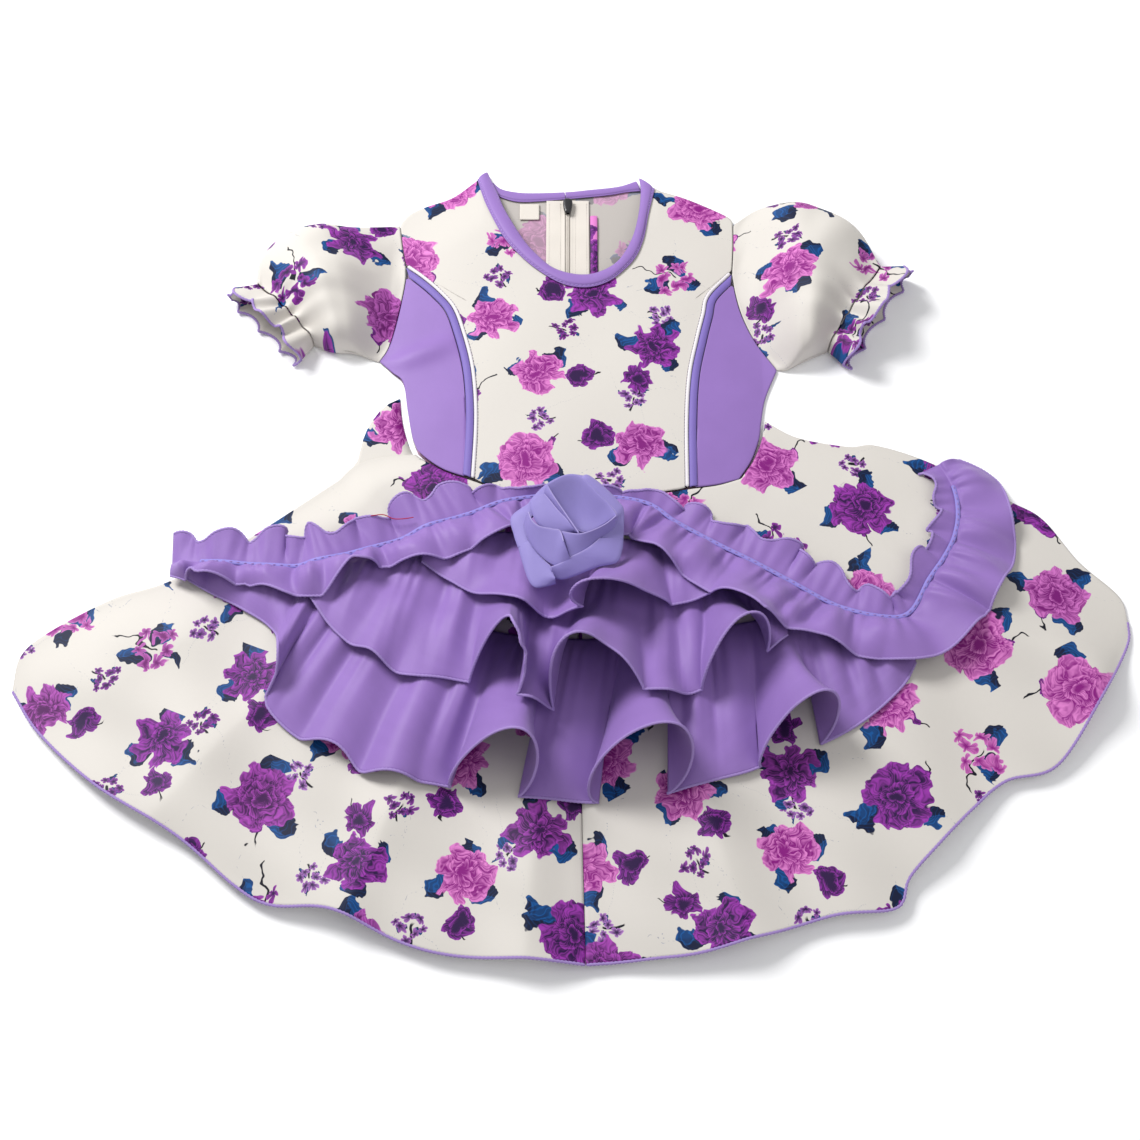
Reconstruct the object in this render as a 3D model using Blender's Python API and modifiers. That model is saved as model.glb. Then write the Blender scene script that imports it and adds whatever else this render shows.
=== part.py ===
"""A toddler's floral dress with fluted ruffle tiers, laid out flat on its back.

X runs across the dress, Y from the hem to the neck and Z up from the surface it lies on.
The tables are in millimetres from the waist's own axes, and ORIGIN moves them to the part's origin.
"""
import math
from collections import namedtuple

import bmesh
import bpy
import numpy as np

# Driving dimensions in metres
MM = 0.001
WALL = 0.001
SEAM = 0.0003
LAYER_GAP = 0.0013
CHEST_RISE = 0.007
SKIRT_RISE = 0.005
BACK_HEM_INSET = 0.005
BINDING_THICKNESS = 0.0022
BACK_BINDING_THICKNESS = 0.0014
PIPING_DIAMETER = 0.002
STRIP_WIDTH = 0.005
TAPE_WIDTH = 0.0135
CORD_WIDTH = 0.003
CORD_RISE = 0.0021
CHAIN_WIDTH = 0.003
CHAIN_HEIGHT = 0.0018
ZIP_LINE = -0.0016
SLIDER_WIDTH = 0.0075
SLIDER_LENGTH = 0.013
SLIDER_HEIGHT = 0.0042
ARMHOLE_RISE = 0.0036
SLEEVE_RISE = 0.016
CUFF_RISE = 0.015
FRILL_REACH = 0.017
FRILL_SPREAD = 0.14
ROSETTE_CENTRE = (0.001, 0.013)
ORIGIN = np.array([0.0035, 0.033, 0.0])

# Rows of faces along a princess seam, and where its strip starts beside the armhole
PRINCESS_ROWS = 10
STRIP_START = 4
UNDERARM_START = 12

# Colours of the cloths and trims
IVORY = (0.80, 0.77, 0.73)
LAVENDER = (0.33, 0.20, 0.60)
PERIWINKLE = (0.32, 0.27, 0.63)
WHITE = (0.85, 0.84, 0.80)
BLACK = (0.02, 0.02, 0.02)

Fold = namedtuple("Fold", "place width height lean roll retreat")
Station = namedtuple("Station", "x y heading frill")
Petal = namedtuple("Petal", "start sweep inner outer base rise")

# Outlines of the bodice, in millimetres
NECK_OUTER = [(-67, 318), (-60, 292), (-48, 263), (-35, 245), (-21, 231), (-5, 220), (11, 217),
              (25, 221), (36, 230), (46, 243), (52, 260), (56, 283), (61, 308)]
NECK_INNER = [(-60, 325), (-53, 306), (-46, 285), (-33, 259), (-21, 243), (-10, 233), (6, 228),
              (20, 230), (34, 240), (44, 260), (49, 283), (51, 306), (50, 319)]
SHOULDER_LEFT = [(-67, 318), (-84, 302), (-103, 294), (-115, 287), (-121, 278)]
SHOULDER_RIGHT = [(61, 308), (80, 302), (97, 294), (114, 284), (116, 279)]
ARMHOLE_LEFT = [(-121, 278), (-118, 256), (-115, 239)]
ARMHOLE_RIGHT = [(116, 279), (115, 256), (113, 232)]
UNDERARM_LEFT = [(-115, 239), (-115, 225), (-119, 195), (-124, 172), (-130, 160)]
UNDERARM_RIGHT = [(113, 232), (115, 214), (119, 196), (127, 176), (141, 153)]
SIDE_LEFT = [(-130, 160), (-121, 151), (-113, 142), (-109, 119), (-105, 98), (-101, 87)]
SIDE_RIGHT = [(141, 153), (132, 130), (128, 110), (126, 97), (120, 80), (111, 65)]
PRINCESS_LEFT = [(-115, 239), (-103, 228), (-91, 215), (-81, 201), (-74, 180), (-68, 155),
                 (-65, 130), (-64, 103), (-65, 64)]
PRINCESS_RIGHT = [(113, 232), (97, 212), (93, 196), (88, 175), (82, 145), (79, 107), (78, 57)]
WAIST_LEFT = [(-101, 87), (-93, 79), (-82, 71), (-65, 64)]
WAIST_CENTRE = [(-65, 64), (-43, 55), (-20, 48), (3, 45), (26, 47), (46, 51), (78, 57)]
WAIST_RIGHT = [(78, 57), (96, 60), (111, 65)]
BACK_NECK = [(-57, 308), (-47, 302), (-34, 299), (-8, 301), (26, 305), (41, 308), (51, 309)]
BACK_NECK_TOP = [(-56, 317), (-50, 311), (-40, 308), (-27, 307), (-2, 308), (14, 310), (35, 313), (48, 318)]
BACK_NECK_EDGE = [(-67, 318), (-56, 312), (-45, 305), (-34, 303), (-2, 304), (26, 309), (44, 313), (61, 308)]

# Outlines of the skirt, in millimetres
SKIRT_SIDE_LEFT = [(-151, 66), (-210, 20), (-255, -9), (-290, -22), (-327, -45), (-343, -62), (-345, -86)]
SKIRT_SIDE_RIGHT = [(132, 112), (153, 99), (186, 92), (204, 93), (238, 80), (288, 50), (308, 36),
                    (327, 5), (349, -20), (352, -38)]
HEM_LEFT = [(-345, -86), (-323, -116), (-282, -152), (-231, -183), (-196, -212), (-174, -224),
            (-139, -228), (-98, -246), (-69, -254), (-29, -257), (9, -259)]
HEM_RIGHT = [(9, -259), (46, -256), (75, -253), (110, -244), (151, -231), (189, -226), (198, -208),
             (217, -188), (239, -166), (262, -147), (294, -137), (327, -91), (349, -55), (352, -38)]
FRONT_SEAM = [(3, 45), (6, -80), (7, -163), (9, -259)]
BACK_SIDE_TOP = [(-113, 131), (-124, 124), (-133, 109), (-137, 96), (-140, 80), (-151, 66)]
SKIRT_FOLDS = [Fold(-58, 16, 9, 0, 0, 0), Fold(-38, 14, 7, 0, 0, 0), Fold(-19, 12, 10, 0, 0, 0),
               Fold(-4, 11, 8, 0, 0, 0), Fold(14, 13, 10, 0, 0, 0), Fold(33, 14, 8, 0, 0, 0),
               Fold(54, 15, 11, 0, 0, 0)]
FOLD_POLE = (3, 150)

# Each tier's seam, its hem where that lies down, and its flutes
TIER_4_SEAM = [(-246, 6), (-200, -6), (-150, -18), (-100, -34), (-50, -48), (0, -54), (60, -50),
               (120, -42), (170, -44), (208, -52)]
TIER_4_HEM = [(-250, -5), (-230, -19), (-205, -33), (-188, -45), (-179, -62), (-178, -82), (-186, -98),
              (-167, -119), (-140, -132), (-116, -148), (-70, -153), (-30, -160), (15, -162), (55, -158),
              (100, -146), (125, -134), (150, -126), (177, -112), (204, -87), (214, -70)]
TIER_4_FLUTES = [Fold(102, 60, 18, 0, 0, 0), Fold(186, 46, 9, 0, 2, 4), Fold(228, 40, 8, 0, 2, 3),
                 Fold(285, 40, 49, 15, 12, 24), Fold(374, 40, 47, 10, 19, 28), Fold(474, 38, 42, 16, 12, 18)]
TIER_3_SEAM = [(-158, 4), (-120, 4), (-80, 6), (-40, 4), (0, 0), (50, -6), (100, -18), (131, -30)]
TIER_3_HEM = [(-164, -27), (-146, -52), (-123, -71), (-100, -83), (-70, -86), (-50, -92), (-40, -103),
              (-22, -108), (0, -106), (25, -103), (48, -102), (65, -100), (83, -92), (100, -82), (118, -72),
              (134, -58)]
TIER_3_FLUTES = [Fold(62, 40, 7, 0, 0, 3), Fold(144, 36, 52, 13, 7, 36), Fold(211, 54, 48, -15, 9, 30),
                 Fold(299, 46, 38, 6, 9, 20)]
TIER_2_SEAM = [(-92, 22), (-50, 22), (0, 20), (50, 14), (86, 0)]
TIER_2_HEM = [(-94, -2), (-76, -16), (-58, -28), (-24, -43), (2, -46), (30, -44), (60, -36), (88, -28)]
TIER_2_FLUTES = [Fold(142, 56, 29, -22, 11, 10)]
TIER_1_STATIONS = [
    Station(-254, 0, 17, 8), Station(-228, -2, 18, 18), Station(-204, -4, 20, 14), Station(-180, -5, 24, 24),
    Station(-160, -3, 23, 28), Station(-143, 2, 20, 16), Station(-124, 10, 20, 18), Station(-106, 17, 23, 24),
    Station(-88, 25, 24, 30), Station(-64, 35, 22, 30), Station(-40, 45, 8, 30), Station(0, 49, 5, 32),
    Station(46, 44, 6, 28), Station(68, 29, 15, 32), Station(89, 16, 16, 36), Station(114, 2, 20, 42),
    Station(141, -15, 24, 44), Station(170, -32, 18, 34), Station(196, -40, 15, 32), Station(213, -37, 13, 38),
    Station(226, -16, 14, 42), Station(237, 0, 15, 42), Station(246, 17, 15, 40), Station(251, 37, 13, 37),
    Station(251, 57, 13, 32), Station(244, 77, 14, 14)]
TIER_1_FLUTES = [
    Fold(28, 34, 12, -6, 4, 6), Fold(68, 30, 7, 0, 2, 2), Fold(112, 36, 12, 5, 4, 4), Fold(152, 34, 8, 0, 2, 2),
    Fold(206, 40, 10, 4, 3, 3), Fold(262, 44, 6, 0, 0, 0), Fold(345, 36, 8, 0, 2, 2), Fold(402, 40, 9, -4, 3, 3),
    Fold(455, 38, 10, 0, 3, 3), Fold(500, 36, 9, 4, 3, 3), Fold(545, 38, 8, 0, 2, 3), Fold(590, 34, 9, 0, 2, 3)]
HEADING_WAVE = 26
HEADING_RISE = 6

# Left and right sleeves: upper edge, lower edge and the elastic between them, in millimetres
SLEEVE_LEFT_TOP = [(-122, 277), (-142, 274), (-160, 270), (-179, 267), (-197, 262), (-211, 250),
                   (-218, 236), (-218, 219)]
SLEEVE_LEFT_BOTTOM = [(-131.5, 161), (-148, 166), (-162, 167), (-175, 173)]
SLEEVE_RIGHT_TOP = [(117.5, 278), (133, 289), (147, 292), (161, 291), (177, 284), (193, 272), (208, 258),
                    (218, 235)]
SLEEVE_RIGHT_BOTTOM = [(142.5, 154), (150, 154), (164, 161), (176, 168)]
CUFF_WAVES = 9
CUFF_WAVE_HEIGHT = 0.0042

# Bands of the folded ribbon rose: angles in degrees, sizes in millimetres
PETALS = [Petal(-110, 150, 12, 34, 0.2, 6), Petal(165, 100, 14, 38, 1.4, 6), Petal(30, 120, 10, 33, 2.7, 6),
          Petal(165, 120, 8, 27, 6.6, 5), Petal(-105, 150, 6, 24, 10.0, 4), Petal(55, 105, 4, 27, 11.0, 3)]


def spline(points, count):
    """A smooth curve through the points, as evenly spaced places along it."""
    knots = np.array(points, float)
    before = 2 * knots[0] - knots[1]
    after = 2 * knots[-1] - knots[-2]
    padded = np.vstack([before, knots, after])
    t = np.linspace(0, 1, 24, endpoint=False)[:, None]
    spans = []
    for i in range(len(knots) - 1):
        a, b, c, d = padded[i:i + 4]
        spans.append(0.5 * (2 * b + (c - a) * t + (2 * a - 5 * b + 4 * c - d) * t ** 2
                            + (3 * b - a - 3 * c + d) * t ** 3))
    return evenly(np.vstack(spans + [knots[-1:]]), count)


def evenly(curve, count):
    """The same curve with evenly spaced points."""
    steps = np.linalg.norm(np.diff(curve, axis=0), axis=1)
    along = np.concatenate([[0], np.cumsum(steps)])
    wanted = np.linspace(0, along[-1], count)
    return np.stack([np.interp(wanted, along, column) for column in curve.T], axis=1)


def joined(*runs, count=97):
    """Smooth runs that meet at sharp corners, in metres."""
    return evenly(np.vstack([spline(run, 48) for run in runs]), count) * MM


def stepped(*curves_and_rows):
    """Curves in a row, each with its own number of rows, so that a row lies at each corner."""
    pieces = [evenly(curve, rows * 8 + 1)[:-1] for curve, rows in curves_and_rows]
    return np.vstack(pieces + [curves_and_rows[-1][0][-1:]])


def moved_in(curve, distance):
    """A flat curve moved sideways, to the left of its direction when the distance is positive."""
    along = np.gradient(curve, axis=0)
    side = np.stack([-along[:, 1], along[:, 0]], axis=1)
    return curve + side / np.linalg.norm(side, axis=1)[:, None] * distance


def at(curve, u):
    """Places on an evenly spaced curve, for fractions from 0 to 1."""
    places = np.clip(u, 0, 1) * (len(curve) - 1)
    return np.stack([np.interp(places, np.arange(len(curve)), column) for column in curve.T], axis=-1)


def fitted(curve, start, end):
    """The curve eased sideways so that it runs from one place to another."""
    along = np.linspace(0, 1, len(curve))[:, None]
    return curve + (1 - along) * (start - curve[0]) + along * (end - curve[-1])


def patch(top, bottom, left, right, u, v):
    """The flat patch inside four edges: u runs from left to right and v from top to bottom."""
    a, b = u[..., None], v[..., None]
    left = fitted(left, top[0], bottom[0])
    right = fitted(right, top[-1], bottom[-1])
    corners = ((1 - a) * (1 - b) * top[0] + a * (1 - b) * top[-1]
               + (1 - a) * b * bottom[0] + a * b * bottom[-1])
    return (1 - b) * at(top, u) + b * at(bottom, u) + (1 - a) * at(left, v) + a * at(right, v) - corners


def smooth(x):
    """0 below 0, 1 above 1, and an eased step between them."""
    x = np.clip(x, 0, 1)
    return x * x * (3 - 2 * x)


def lifted(flat, height):
    """Flat places given a height."""
    return np.concatenate([flat, np.broadcast_to(height, flat.shape[:-1])[..., None]], axis=-1)


class Pile:
    """The height of the cloth that already lies at each place, in cells of 3 mm."""

    CELL = 0.003
    REACH = 0.42

    def __init__(self):
        cells = int(2 * self.REACH / self.CELL)
        self.tops = np.zeros((cells, cells))
        self.rest = self.tops

    def add(self, surface):
        """Lay a surface on the pile, and ease the height on which the next one rests."""
        u, v = np.meshgrid(np.linspace(0, 1, 900), np.linspace(0, 1, 180), indexing="ij")
        places = surface(u, v).reshape(-1, 3)
        rows = ((places[:, 0] + self.REACH) / self.CELL).astype(int)
        columns = ((places[:, 1] + self.REACH) / self.CELL).astype(int)
        np.maximum.at(self.tops, (rows, columns), places[:, 2])
        eased = self.tops
        for _ in range(2):
            eased = np.max([np.roll(eased, (i, j), (0, 1)) for i in (-1, 0, 1) for j in (-1, 0, 1)], axis=0)
        for _ in range(3):
            eased = np.mean([np.roll(eased, (i, j), (0, 1)) for i in (-1, 0, 1) for j in (-1, 0, 1)], axis=0)
        self.rest = eased

    def height(self, flat):
        """How high the pile is at flat places."""
        x = np.clip((flat[..., 0] + self.REACH) / self.CELL - 0.5, 0, len(self.rest) - 2)
        y = np.clip((flat[..., 1] + self.REACH) / self.CELL - 0.5, 0, len(self.rest) - 2)
        i, j = x.astype(int), y.astype(int)
        a, b = x - i, y - j
        near = (1 - b) * self.rest[i, j] + b * self.rest[i, j + 1]
        far = (1 - b) * self.rest[i + 1, j] + b * self.rest[i + 1, j + 1]
        return (1 - a) * near + a * far


def material(name, colour, roughness=0.6, metallic=0.0):
    made = bpy.data.materials.get(name) or bpy.data.materials.new(name)
    made.use_nodes = True
    principled = made.node_tree.nodes["Principled BSDF"]
    principled.inputs["Base Color"].default_value = (*colour, 1)
    principled.inputs["Roughness"].default_value = roughness
    principled.inputs["Metallic"].default_value = metallic
    return made


def finish(name, mesh, cloth):
    """Put a mesh in the dress's collection as one named piece."""
    piece = bpy.data.objects.new(name, mesh)
    bpy.data.collections["Floral dress"].objects.link(piece)
    mesh.materials.append(cloth)
    mesh.shade_smooth()
    mesh.set_sharp_from_angle(angle=math.radians(50))
    return piece


def cloth_piece(name, surface, across, down, cloth, wall=WALL, tube=False):
    """A wall of cloth along a surface, which is a function of two fractions on a grid."""
    mesh = bpy.data.meshes.new(name)
    form = bmesh.new()
    bmesh.ops.create_grid(form, x_segments=across, y_segments=down, size=0.5)
    form.to_mesh(mesh)
    flat = np.empty(len(mesh.vertices) * 3)
    mesh.vertices.foreach_get("co", flat)
    u, v = flat.reshape(-1, 3)[:, 0] + 0.5, flat.reshape(-1, 3)[:, 1] + 0.5
    mesh.vertices.foreach_set("co", (surface(u, v) - ORIGIN).ravel())
    form.clear()
    form.from_mesh(mesh)
    if tube:
        bmesh.ops.remove_doubles(form, verts=form.verts, dist=0.00001)
    form.to_mesh(mesh)
    form.free()
    piece = finish(name, mesh, cloth)
    solid = piece.modifiers.new("Cloth wall", "SOLIDIFY")
    solid.thickness = wall
    solid.offset = 0
    return piece


def box_piece(name, low, high, cloth, bevel=0.0):
    """A plain block between two corners, with rounded edges."""
    low, high = np.array(low), np.array(high)
    mesh = bpy.data.meshes.new(name)
    form = bmesh.new()
    bmesh.ops.create_cube(form, size=1)
    bmesh.ops.scale(form, vec=high - low, verts=form.verts)
    bmesh.ops.translate(form, vec=(low + high) / 2 - ORIGIN, verts=form.verts)
    form.to_mesh(mesh)
    form.free()
    piece = finish(name, mesh, cloth)
    if bevel:
        rounding = piece.modifiers.new("Rounded edges", "BEVEL")
        rounding.width = bevel
        rounding.segments = 2
    return piece


def front_height(flat):
    """The front bodice's rise over the back: most at the chest, least at side and shoulder seams."""
    across = 1 - np.clip(np.abs(flat[..., 0] - 3 * MM) / (128 * MM), 0, 1) ** 3
    shoulder = (320 - np.clip(np.abs(flat[..., 0] / MM) - 62, 0, 70) * 0.7) * MM
    below = smooth((shoulder - flat[..., 1]) / (70 * MM) + 0.25)
    return 1.5 * WALL + SEAM + CHEST_RISE * across * below


def build_bodice(ivory, lavender, white, pile):
    """Front with side panels and piped princess seams, back halves, and the bound neck."""
    waist_line = joined(WAIST_LEFT, WAIST_CENTRE, WAIST_RIGHT, count=193)

    def above_waist(curve):
        """The curve down to the waist seam, with evenly spaced points."""
        waist = np.interp(curve[:, 0], waist_line[:, 0], waist_line[:, 1])
        return evenly(curve[curve[:, 1] > waist + SEAM], 97)

    binding_outer, binding_inner = joined(NECK_OUTER), joined(NECK_INNER)
    neck = (binding_outer + binding_inner) / 2
    beside = PIPING_DIAMETER + 2 * SEAM
    sides = {"left": (PRINCESS_LEFT, -1, SHOULDER_LEFT, ARMHOLE_LEFT, UNDERARM_LEFT, SIDE_LEFT, WAIST_LEFT),
             "right": (PRINCESS_RIGHT, 1, SHOULDER_RIGHT, ARMHOLE_RIGHT, UNDERARM_RIGHT, SIDE_RIGHT,
                       WAIST_RIGHT[::-1])}
    centre_edges = []
    for side, (princess_table, hand, shoulder, armhole, underarm, side_seam, waist) in sides.items():
        princess = joined(princess_table)
        floral_edge = above_waist(moved_in(princess, -hand * beside))
        armhole_edge = fitted(joined(armhole), joined(armhole)[0], floral_edge[0])
        centre_edges.append(stepped((joined(shoulder), 3), (armhole_edge, 2), (floral_edge, PRINCESS_ROWS)))
        strip_near = above_waist(moved_in(princess, hand * SEAM))
        strip_far = above_waist(moved_in(princess, hand * (STRIP_WIDTH + SEAM))[STRIP_START:])
        panel_inner = moved_in(strip_far, hand * 2 * SEAM)

        def strip(u, v, near=strip_near, far=strip_far):
            flat = at(near, v) * (1 - u[..., None]) + at(far, v) * u[..., None]
            return lifted(flat, front_height(flat) + 0.2 * MM)
        cloth_piece(f"princess_strip_{side}", strip, 1, PRINCESS_ROWS, lavender, wall=1.2 * MM)

        outer = stepped((joined(underarm)[UNDERARM_START:], 4), (joined(side_seam), PRINCESS_ROWS - 4))
        top = evenly(np.array([outer[0], panel_inner[0]]), 9)
        bottom = evenly(np.vstack([joined(waist)[:-10], panel_inner[-1:]]), 41)

        def panel(u, v, top=top, bottom=bottom, outer=outer, inner=panel_inner):
            flat = patch(top, bottom, outer, inner, u, v)
            return lifted(flat, front_height(flat))
        cloth_piece(f"side_front_{side}", panel, 5, PRINCESS_ROWS, lavender)
        pile.add(panel)

        piping = bpy.data.curves.new(f"princess_piping_{side}", "CURVE")
        piping.dimensions = "3D"
        piping.bevel_depth = PIPING_DIAMETER / 2
        piping.bevel_resolution = 1
        piping.use_fill_caps = True
        route = at(above_waist(moved_in(princess, -hand * beside / 2)), np.linspace(0, 1, PRINCESS_ROWS + 1))
        line = piping.splines.new("POLY")
        line.points.add(len(route) - 1)
        for point, place in zip(line.points, lifted(route, front_height(route)) - ORIGIN):
            point.co = (*place, 1)
        cord = bpy.data.objects.new(f"princess_piping_{side}", piping)
        piping.materials.append(white)
        bpy.data.collections["Floral dress"].objects.link(cord)

    centre_left, centre_right = centre_edges
    centre_waist = evenly(np.vstack([centre_left[-1:], joined(WAIST_CENTRE)[4:-4], centre_right[-1:]]), 97)

    def centre(u, v):
        flat = patch(neck, centre_waist, centre_left, centre_right, u, v)
        return lifted(flat, front_height(flat))
    cloth_piece("front_bodice", centre, 14, PRINCESS_ROWS + 5, ivory)
    pile.add(centre)

    def front_binding(u, v):
        flat = at(binding_outer, u) * (1 - v[..., None]) + at(binding_inner, u) * v[..., None]
        return lifted(flat, front_height(flat) + (WALL + BINDING_THICKNESS) / 2 + 2 * SEAM)
    cloth_piece("neck_binding_front", front_binding, 30, 1, lavender, wall=BINDING_THICKNESS)

    low, high = joined(BACK_NECK), joined(BACK_NECK_TOP)
    for side, start, end in (("left", 0, 0.508), ("right", 0.512, 1)):
        def back_binding(u, v, start=start, end=end):
            along = start + (end - start) * u
            flat = at(low, along) * (1 - v[..., None]) + at(high, along) * v[..., None]
            return lifted(flat, WALL + SEAM + BACK_BINDING_THICKNESS / 2)
        cloth_piece(f"neck_binding_back_{side}", back_binding, 8, 1, lavender, wall=BACK_BINDING_THICKNESS)

    back_neck = joined(BACK_NECK_EDGE, count=193)
    for side, (_, hand, shoulder, armhole, underarm, side_seam, _) in sides.items():
        top = back_neck[hand * (back_neck[:, 0] - ZIP_LINE) > SEAM / 2]
        bottom = waist_line[hand * (waist_line[:, 0] - ZIP_LINE) > SEAM / 2]
        outer = joined(shoulder, armhole, underarm, side_seam)
        inner = np.array([top[-1], bottom[-1]]) if side == "left" else np.array([top[0], bottom[0]])
        edges = (outer, evenly(inner, 9)) if side == "left" else (evenly(inner, 9), outer)

        def half(u, v, top=evenly(top, 61), bottom=evenly(bottom, 61), edges=edges):
            flat = patch(top, bottom, *edges, u, v)
            return lifted(flat, WALL / 2)
        cloth_piece(f"back_bodice_{side}", half, 6, 10, ivory)


def build_zip(white, black):
    """The closed concealed zip, seen from inside: two tapes, the chain and the slider's body."""
    top, bottom = 300 * MM, 130 * MM
    rest = WALL + SEAM
    for side, hand in (("left", -1), ("right", 1)):
        near = ZIP_LINE + hand * (CHAIN_WIDTH / 2 + SEAM)
        far = near + hand * TAPE_WIDTH
        box_piece(f"zip_tape_{side}", (min(near, far), bottom, rest), (max(near, far), top, rest + WALL), white)
    half = CHAIN_WIDTH / 2
    slider_low = top - SLIDER_LENGTH - 1 * MM
    box_piece("zip_chain", (ZIP_LINE - half, bottom, rest),
              (ZIP_LINE + half, slider_low - SEAM, rest + CHAIN_HEIGHT), white)
    half = SLIDER_WIDTH / 2
    base = rest + WALL + SEAM
    box_piece("zip_slider", (ZIP_LINE - half, slider_low, base),
              (ZIP_LINE + half, slider_low + SLIDER_LENGTH, base + SLIDER_HEIGHT), black, bevel=0.0012)
    box_piece("size_label", (-36 * MM, 283 * MM, rest), (-22 * MM, 297 * MM, rest + WALL), white)


def skirt_height(flat, edge):
    """The front skirt's rise: soft folds fan out from above the waist and grow towards the hem."""
    across = flat[..., 0] / MM - FOLD_POLE[0]
    down = FOLD_POLE[1] - flat[..., 1] / MM
    bearing = np.degrees(np.arctan2(across, down))
    reach = np.hypot(across, down)
    grown = smooth((reach - 110) / 260)
    rise = SKIRT_RISE * smooth((reach - 90) / 60)
    for fold in SKIRT_FOLDS:
        rise = rise + fold.height * MM * grown * np.exp(-((bearing - fold.place) / (fold.width / 2)) ** 2)
    waist = front_height(flat) - 1.5 * WALL - SEAM
    near_waist = 1 - smooth((reach - 90) / 90)
    return 1.5 * WALL + SEAM + smooth(edge) * (rise + waist * near_waist)


def build_skirt(ivory, pile):
    """Two back panels on the surface and two front panels on them, joined at the side folds."""
    hem_left, hem_right = joined(HEM_LEFT), joined(HEM_RIGHT)
    seam = joined(FRONT_SEAM)
    below_waist = -SEAM - 1.5 * WALL
    waist_left = moved_in(joined(WAIST_LEFT, WAIST_CENTRE[:4]), below_waist)
    waist_right = moved_in(joined(WAIST_CENTRE[3:], WAIST_RIGHT, SIDE_RIGHT[:2:-1] + [(129, 112)]), below_waist)
    beside_panel = joined([(-101, 86), (-122, 84), (-140, 78), (-151, 66)], SKIRT_SIDE_LEFT)
    side_right = joined(SKIRT_SIDE_RIGHT)
    back_waist = joined([(-113, 131), (-110.5, 112), (-106, 95), (-102, 86)], WAIST_LEFT, WAIST_CENTRE[:4])
    back_side = joined(BACK_SIDE_TOP, SKIRT_SIDE_LEFT)
    panels = {"left": (waist_left, hem_left, beside_panel, seam, lambda u: u * 6),
              "right": (waist_right, hem_right, seam, side_right, lambda u: (1 - u) * 6)}
    for side, (top, bottom, left, right, edge) in panels.items():
        gap = SEAM / 2 if side == "left" else -SEAM / 2

        def front(u, v, top=top, bottom=bottom, left=left, right=right, edge=edge, gap=gap):
            flat = patch(top, bottom, left, right, u, v)
            height = skirt_height(flat, edge(u))
            flat = flat - np.stack([np.full(u.shape, gap), np.zeros(u.shape)], axis=-1)
            return lifted(flat, height)
        cloth_piece(f"skirt_front_{side}", front, 17, 12, ivory)
        pile.add(front)

    back_hem_left = fitted(moved_in(hem_left, BACK_HEM_INSET), hem_left[0], hem_left[-1] + [0, BACK_HEM_INSET])
    back_hem_right = fitted(moved_in(hem_right, BACK_HEM_INSET), hem_right[0] + [0, BACK_HEM_INSET], hem_right[-1])
    backs = {"left": (moved_in(back_waist, below_waist), back_hem_left, back_side, seam, SEAM / 2),
             "right": (waist_right, back_hem_right, seam, side_right, -SEAM / 2)}
    for side, (top, bottom, left, right, gap) in backs.items():
        def back(u, v, top=top, bottom=bottom, left=left, right=right, gap=gap):
            flat = patch(top, bottom, left, right, u, v)
            flat = flat - np.stack([np.full(u.shape, gap), np.zeros(u.shape)], axis=-1)
            return lifted(flat, WALL / 2)
        cloth_piece(f"skirt_back_{side}", back, 12, 5, ivory)


def ruffle(seam, hem, flutes, rest, length):
    """A tier as a function of two fractions: flutes rise, lean and roll more towards the hem."""
    along_hem = np.gradient(hem, axis=0)
    along_hem = along_hem / np.linalg.norm(along_hem, axis=1)[:, None]

    def surface(u, v):
        start, end = at(seam, u), at(hem, u)
        along = at(along_hem, u)
        inward = start - end
        inward = inward / np.linalg.norm(inward, axis=-1)[..., None]
        flat = start * (1 - v[..., None]) + end * v[..., None]
        grown = v ** 1.6
        rise = 0.0015 * np.sin(np.pi * v)
        for fold in flutes:
            t = np.clip((u * length / MM - fold.place) / (fold.width / 2), -1, 1)
            bump = np.cos(np.pi * t / 2) ** 2
            sideways = (fold.lean * bump + fold.roll * np.sin(np.pi * t)) * MM * grown
            flat = flat + along * sideways[..., None]
            flat = flat + inward * (fold.retreat * MM * bump * grown)[..., None]
            rise = rise + fold.height * MM * bump * grown
        return lifted(flat, rest(flat) + LAYER_GAP + rise)
    return surface


def evened(surface, count):
    """The same surface, stepped so that its last edge has even steps, flutes and all."""
    fine = np.linspace(0, 1, 1200)
    edge = surface(fine, np.ones(fine.shape))
    along = np.concatenate([[0], np.cumsum(np.linalg.norm(np.diff(edge, axis=0), axis=1))])
    steps = np.interp(np.linspace(0, along[-1], count + 1), along, fine)

    def even(u, v):
        return surface(np.interp(u, np.linspace(0, 1, count + 1), steps), v)
    return even


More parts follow.
